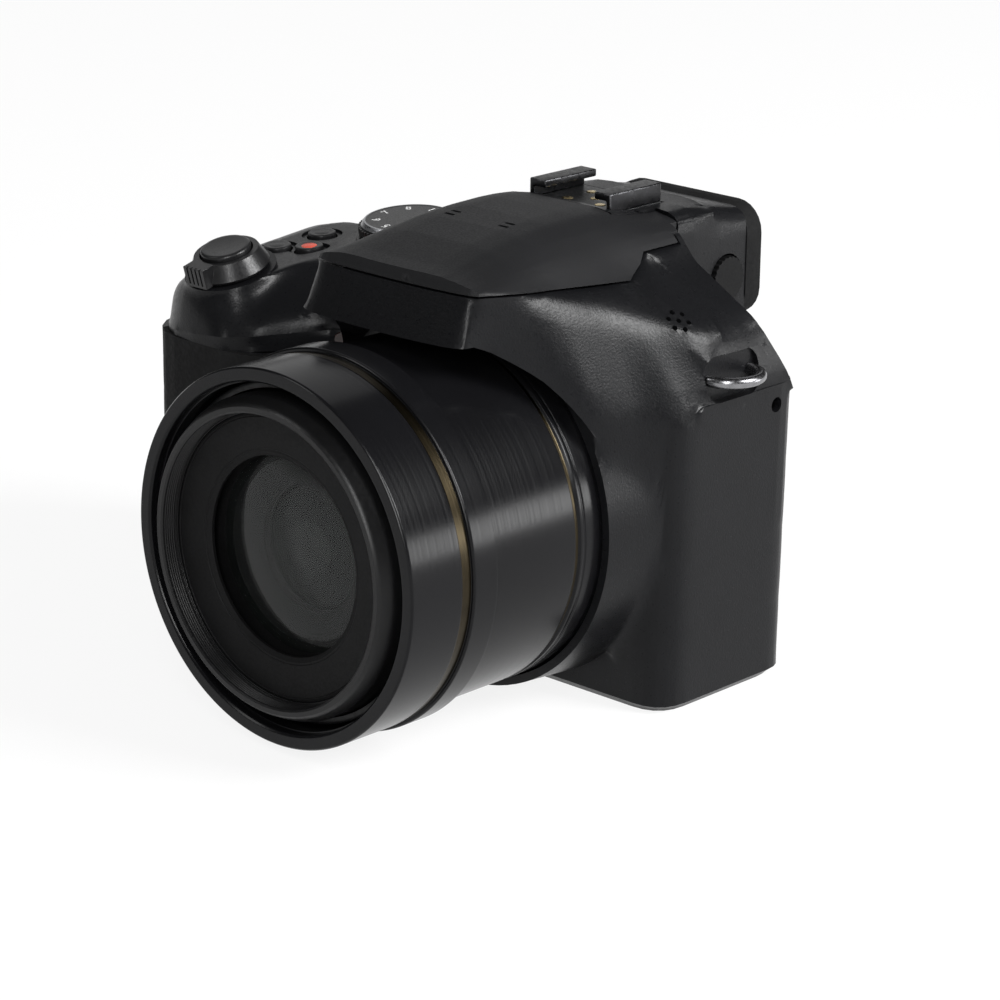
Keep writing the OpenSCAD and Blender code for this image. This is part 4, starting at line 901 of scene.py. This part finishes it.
class CAMERA_OT_deck(bpy.types.Operator):
    """Turn the shutter button, zoom ring, top buttons, mode dial and power switch"""

    bl_idname = "camera_finish.deck"
    bl_label = "Deck controls"

    def execute(self, context):
        axis = [-v for v in JOINTS["shutter_press"]["axis"]]
        turret = along(axis, JOINTS["zoom_turn"]["pos_m"])
        r, low, top = reach("shutter_button", turret)
        button = turned("shutter_button_turned", [
            (2.4, low), (2.4, 0), (r, 0), (r, top - 0.55), (r - 0.08, top - 0.26), (r - 0.3, top - 0.07),
            (r - 0.7, top),
            (0.66 * r, top - 0.08), (0.44 * r, top - 0.15),
            (0.22 * r, top - 0.2)], turret, sides=128, tip=True, cap=True)
        sleek(button, 35)
        finished(button, LOOKS["dial"], "shutter_button", "dial", "shutter_button")
        dressed("zoom_ring", LOOKS["dial"], width=0.14 * MM, flat=2, smooth=32)
        self.button("movie_button", 0.16, "red")
        self.button("burst_button", 0.12)
        self.button("function_button", 0.12)
        self.dial()
        return {"FINISHED"}

    def button(self, node, crown, dot=None):
        """Round push button with a soft edge, a slightly sunk top and, where given, a coloured middle."""
        axis = Vector([-v for v in JOINTS[node.replace("_button", "_press")]["axis"]])
        co = np.array([v.co[:] for v in frame["nodes"][node].data.vertices])
        up = co @ np.array(axis)
        top = co[up > up.max() - 2e-5]
        place = along(axis, (top.min(0) + top.max(0)) / 2)
        r, low = reach(node, place)[:2]
        obj = turned(f"{node}_turned", [
            (r, low), (r, -0.35), (r - 0.06, -0.16), (r - 0.22, -0.04), (r - 0.5, 0), (r * 0.62, -crown),
            (r * 0.56, -crown), (r * 0.5, -crown * 0.4),
            (r * 0.2, -crown * 0.2)], place, sides=72, tip=True, cap=True)
        back = place.inverted()

        def cap(f):
            c = back @ f.calc_center_median()
            return c.z > -0.4 * MM and math.hypot(c.x, c.y) / MM < r * 0.57
        if dot:
            tinted(obj, cap, "button", dot)
        sleek(obj, 35)
        finished(obj, None if dot else LOOKS["button"], node, slot_of(node), node)

    def dial(self):
        """Mode dial with cut knurls, a bright edge line, a sunk top and plain numbers."""
        joint = JOINTS["mode_turn"]
        place = along(joint["axis"], joint["pos_m"])
        count = sizes().knurls
        r, low, top = reach("mode_dial", place)
        foot, brow = top - 2.9, top - 1.15
        obj = turned("mode_dial_turned", [
            (4, low), (4, foot), (r - 1.1, foot), (r - 0.45, foot + 0.15), (r - 0.45, brow), (r - 0.55, brow + 0.1),
            (r - 0.7, brow + 0.25), (r - 0.95, top - 0.4), (r - 1.25, top - 0.06), (r - 1.6, top),
            (r - 1.9, top - 0.1),
            (4.0, top - 0.1), (2.0, top - 0.1)], place, sides=2 * count, tip=True, cap=True)
        back = place.inverted()
        edit(obj)

        def tooth(f):
            c = back @ f.calc_center_median()
            if not (foot + 0.3 < c.z / MM < brow and math.hypot(c.x, c.y) / MM > r - 0.6):
                return False
            return int(math.degrees(math.atan2(c.y, c.x)) % 360 / (180 / count)) % 2 == 0
        pick(obj, tooth)
        bpy.ops.mesh.extrude_region_shrink_fatten(TRANSFORM_OT_shrink_fatten={"value": 0.40 * MM})
        leave()

        def rim(f):
            c = back @ f.calc_center_median()
            return brow + 0.2 < c.z / MM < top + 0.02 and r - 1.75 < math.hypot(c.x, c.y) / MM < r - 0.7
        tinted(obj, rim, "dial", "silver")
        sleek(obj, 30)
        finished(obj, None, "mode_dial", "dial", "mode_dial")
        marks, modes = [], 8
        for i in range(modes):
            clear()
            bpy.ops.object.text_add()
            text = bpy.context.object
            text.data.body = str(i + 1)
            text.data.size = 2.7 * MM
            text.data.align_x = "CENTER"
            text.data.align_y = "CENTER"
            text.data.extrude = 0.02 * MM
            bpy.ops.object.convert(target="MESH")
            turn = Matrix.Rotation(-math.radians(360 / modes * i), 4, "Z")
            put(text, place @ turn @ Matrix.Translation((0, 6.6 * MM, (top - 0.09) * MM)))
            marks.append(text)
        numbers = joined("mode_dial_numbers", marks)
        finished(numbers, LOOKS["mark"], "mode_dial", "dial")
        dressed("power_switch", LOOKS["button"], width=0.2 * MM, flat=2)


class CAMERA_OT_trim(bpy.types.Operator):
    """Bend the strap lugs and fit the lamp and speaker"""

    bl_idname = "camera_finish.trim"
    bl_label = "Lugs and trim"

    def execute(self, context):
        lugs = copied("strap_lugs", "strap_lugs_bent")
        soften(lugs, 0.1 * MM, angle=60)
        sleek(lugs, 45)
        finished(lugs, LOOKS["wire"], "body", "steel", "strap_lugs")
        dressed("af_lamp_window", LOOKS["lamp"], width=0.3 * MM)
        dressed("speaker", LOOKS["cloth"], width=0.3 * MM)
        return {"FINISHED"}


class CAMERA_OT_rear(bpy.types.Operator):
    """Fit the screen, rear keys, wheel and dioptre dial"""

    bl_idname = "camera_finish.rear"
    bl_label = "Rear controls"

    def execute(self, context):
        dressed("lcd_glass", LOOKS["screen"], width=0.25 * MM, flat=2)
        dressed("lcd_panel", LOOKS["panel"], width=0.2 * MM, flat=2)
        for node in ("finder_button", "playback_button", "display_button", "menu_button"):
            dressed(node, LOOKS["button"], width=0.4 * MM)
        for node in ("up_key", "right_key", "down_key", "left_key"):
            dressed(node, LOOKS["button"], width=0.3 * MM, flat=1.5)
        dressed("set_button", LOOKS["dial"], width=0.45 * MM)
        for node, look in (("rear_dial", "dial"), ("diopter_dial", "ring")):
            dressed(node, LOOKS[look], width=0.1 * MM, flat=1)
        return {"FINISHED"}


class CAMERA_OT_base(bpy.types.Operator):
    """Finish the base plate, tripod bush, screws and doors"""

    bl_idname = "camera_finish.base"
    bl_label = "Base and doors"

    def execute(self, context):
        dressed("base_plate", LOOKS["shell"], width=0.25 * MM, flat=2)
        dressed("case_screws", LOOKS["steel"], width=0.06 * MM, flat=2)
        dressed("battery_door", LOOKS["shell"], width=0.2 * MM, flat=2)
        dressed("battery_latch", LOOKS["button"], width=0.12 * MM, flat=2)
        dressed("battery_hinge_pin", LOOKS["steel"], width=0.08 * MM)
        dressed("terminal_door", LOOKS["shell"], width=0.25 * MM, flat=2)
        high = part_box("tripod_bush")[1]
        wide, deep = high[0] / MM, high[2] / MM
        r, bore, pitch = 5.6, 3.175, 1.27
        lines = []
        h = 0.5
        while h < deep - 2.2:
            lines += [(bore + 0.02, h), (bore + 0.55, h + 0.63), (bore + 0.02, h + 1.26)]
            h += pitch
        bush = turned("tripod_bush_tapped", [
            (r, 0.15), (r, 1.8), (wide, 1.8), (wide, 3.0), (r, 3.0), (r, deep), (bore, deep), (bore, deep - 1)]
            + lines[::-1] + [(bore + 0.1, 0.35), (bore + 0.5, 0),
            (r - 0.15, 0)], Matrix.Identity(4), sides=96, ring=True)
        sleek(bush, 30)
        finished(bush, LOOKS["steel"], "body", "steel", "tripod_bush")
        return {"FINISHED"}


class CAMERA_OT_insides(bpy.types.Operator):
    """Give the pieces inside their plain materials"""

    bl_idname = "camera_finish.insides"
    bl_label = "Insides"

    def execute(self, context):
        for node, look in (("image_sensor", "board"), ("main_board", "board"), ("battery", "inner"),
                           ("battery_chamber", "inner"), ("lens_base", "tube"), ("finder_display", "screen")):
            paint(node, look)
        return {"FINISHED"}


# Soft boxes: name, place in m, width, height and power in W
LAMPS = (("key", (1.00, 0.42, 0.80), 0.55, 0.55, 30), ("strip", (0.70, -0.92, 0.68), 0.2, 0.9, 12),
         ("side", (0.92, 0.90, 0.10), 0.35, 0.3, 3.5), ("back", (-0.97, 0.78, 0.84), 1.2, 1.2, 3),
         ("front", (-0.60, -0.75, 0.95), 0.4, 0.4, 2.5))
LAMP_AIM = (-0.02, -0.02, 0.05)
# Strength of the light from all round, of the ceiling in reflections, and height at which white turns into ceiling
SOFT, CEILING, HORIZON = 0.22, 0.03, 0.12
# Share of plain white in the floor where the camera sees it
FLOOR_WHITE = 0.86


class CAMERA_OT_stage(bpy.types.Operator):
    """Set the floor, lights, world and camera"""

    bl_idname = "camera_finish.stage"
    bl_label = "Studio"

    def execute(self, context):
        self.floor()
        self.world()
        for lamp in LAMPS:
            self.lamp(*lamp)
        self.camera()
        context.scene.view_settings.view_transform = "Standard"
        return {"FINISHED"}

    def floor(self):
        clear()
        bpy.ops.mesh.primitive_circle_add(vertices=96, radius=6, fill_type="NGON", location=(0, 0, 0))
        floor = bpy.context.object
        floor.name = "studio_floor"
        look = Look("floor", "studio_floor", colours().floor, 0.7, specular=0.2)
        look.vary(look.noise(400, 2), 0.99, 1.0)
        tree, shader = look.tree, look.shader
        glow = look.node("ShaderNodeEmission")
        glow.inputs["Color"].default_value = (1, 1, 1, 1)
        glow.inputs["Strength"].default_value = 1.0
        part = look.node("ShaderNodeMath", operation="MULTIPLY")
        part.inputs[1].default_value = FLOOR_WHITE
        look.link(self.seen(tree), part.inputs[0])
        mixed = self.blend(tree, part.outputs[0], shader.outputs["BSDF"], glow.outputs["Emission"])
        look.link(mixed, tree.nodes["Material Output"].inputs["Surface"])
        floor.data.materials.append(look.material)

    def seen(self, tree):
        """1 for rays from the camera and for those that mirrors and glass send on."""
        path = tree.nodes.new("ShaderNodeLightPath")
        found = path.outputs["Is Camera Ray"]
        for kind in ("Is Glossy Ray", "Is Transmission Ray"):
            either = tree.nodes.new("ShaderNodeMath")
            either.operation = "MAXIMUM"
            tree.links.new(found, either.inputs[0])
            tree.links.new(path.outputs[kind], either.inputs[1])
            found = either.outputs[0]
        return found

    def blend(self, tree, fac, a, b):
        """Shader that runs from one to another."""
        n = tree.nodes.new("ShaderNodeMixShader")
        for source, socket in ((fac, "Fac"), (a, 1), (b, 2)):
            tree.links.new(source, n.inputs[socket])
        return n.outputs["Shader"]

    def backdrop(self, node, strength):
        """White background of that strength."""
        node.inputs["Color"].default_value = (1, 1, 1, 1)
        node.inputs["Strength"].default_value = strength
        return node.outputs["Background"]

    def world(self):
        """White round the horizon, a dim ceiling above it."""
        world = bpy.data.worlds.new("studio")
        bpy.context.scene.world = world
        world.use_nodes = True
        tree = world.node_tree
        soft = self.backdrop(tree.nodes["Background"], SOFT)
        white = self.backdrop(tree.nodes.new("ShaderNodeBackground"), 1.0)
        dim = self.backdrop(tree.nodes.new("ShaderNodeBackground"), CEILING)
        coords = tree.nodes.new("ShaderNodeTexCoord")
        split = tree.nodes.new("ShaderNodeSeparateXYZ")
        tree.links.new(coords.outputs["Generated"], split.inputs["Vector"])
        rise = tree.nodes.new("ShaderNodeMapRange")
        rise.interpolation_type = "SMOOTHSTEP"
        for socket, v in (("From Min", 0.0), ("From Max", HORIZON), ("To Min", 0.0), ("To Max", 1.0)):
            rise.inputs[socket].default_value = v
        tree.links.new(split.outputs["Z"], rise.inputs["Value"])
        room = self.blend(tree, rise.outputs["Result"], white, dim)
        path = tree.nodes.new("ShaderNodeLightPath")
        view = self.blend(tree, path.outputs["Is Camera Ray"], room, white)
        last = self.blend(tree, self.seen(tree), soft, view)
        tree.links.new(last, tree.nodes["World Output"].inputs["Surface"])

    def lamp(self, name, place, width, tall, power):
        """Soft box that looks at the middle of the camera."""
        clear()
        bpy.ops.object.light_add(type="AREA", location=place)
        lamp = bpy.context.object
        lamp.name = f"studio_{name}"
        lamp.data.shape = "RECTANGLE"
        lamp.data.size, lamp.data.size_y = width, tall
        lamp.data.energy = power
        aim = Vector(LAMP_AIM) - Vector(place)
        lamp.rotation_euler = aim.to_track_quat("-Z", "Y").to_euler()

    def camera(self):
        """Camera that sees a mark on the lens axis at a known pixel of a square picture."""
        az, el, roll = math.radians(42.83), math.radians(18.18), math.radians(0.71)
        out = Vector((math.sin(az) * math.cos(el), -math.cos(az) * math.cos(el), math.sin(el)))
        right = Vector((0, 0, 1)).cross(out).normalized()
        up = out.cross(right)
        right, up = math.cos(roll) * right + math.sin(roll) * up, math.cos(roll) * up - math.sin(roll) * right
        picture, focal, far, sensor = 1000, 3502.0, 0.634, 36
        mark, across, down = Vector((0, -0.080, 0.0378)), 275.9, 559.1
        x, y = (across - picture / 2) / focal * far, -(down - picture / 2) / focal * far
        eye = mark - x * right - y * up + far * out
        clear()
        bpy.ops.object.camera_add()
        cam = bpy.context.object
        cam.name = "studio_camera"
        m = Matrix((right, up, out)).transposed().to_4x4()
        m.translation = eye
        cam.matrix_world = m
        cam.data.sensor_width = sensor
        cam.data.lens = focal / picture * sensor
        cam.data.clip_start = 0.01
        bpy.context.scene.camera = cam


STEPS = (CAMERA_OT_looks, CAMERA_OT_covers, CAMERA_OT_flash, CAMERA_OT_rubbers, CAMERA_OT_barrel, CAMERA_OT_tubes,
         CAMERA_OT_glasses, CAMERA_OT_shoe, CAMERA_OT_deck, CAMERA_OT_trim, CAMERA_OT_rear, CAMERA_OT_base,
         CAMERA_OT_insides, CAMERA_OT_stage)


class CAMERA_PT_finish(bpy.types.Panel):
    """Sidebar panel with the steps of the finish and their sizes and colours"""

    bl_idname = "CAMERA_PT_finish"
    bl_label = "Bridge camera"
    bl_space_type = "VIEW_3D"
    bl_region_type = "UI"
    bl_category = "Camera"

    def draw(self, context):
        for step in STEPS:
            self.layout.operator(step.bl_idname)
        for group in (sizes(), colours()):
            box = self.layout.box()
            for name in group.__annotations__:
                box.prop(group, name)


CLASSES = (CAMERA_PG_sizes, CAMERA_PG_colours, *STEPS, CAMERA_PT_finish)


def register():
    for c in CLASSES:
        bpy.utils.register_class(c)
    bpy.types.Scene.camera_sizes = PointerProperty(type=CAMERA_PG_sizes)
    bpy.types.Scene.camera_colours = PointerProperty(type=CAMERA_PG_colours)


def unregister():
    del bpy.types.Scene.camera_colours
    del bpy.types.Scene.camera_sizes
    for c in reversed(CLASSES):
        bpy.utils.unregister_class(c)


def main():
    register()
    for step in STEPS:
        group, name = step.bl_idname.split(".")
        getattr(getattr(bpy.ops, group), name)()


if __name__ == "__main__":
    main()
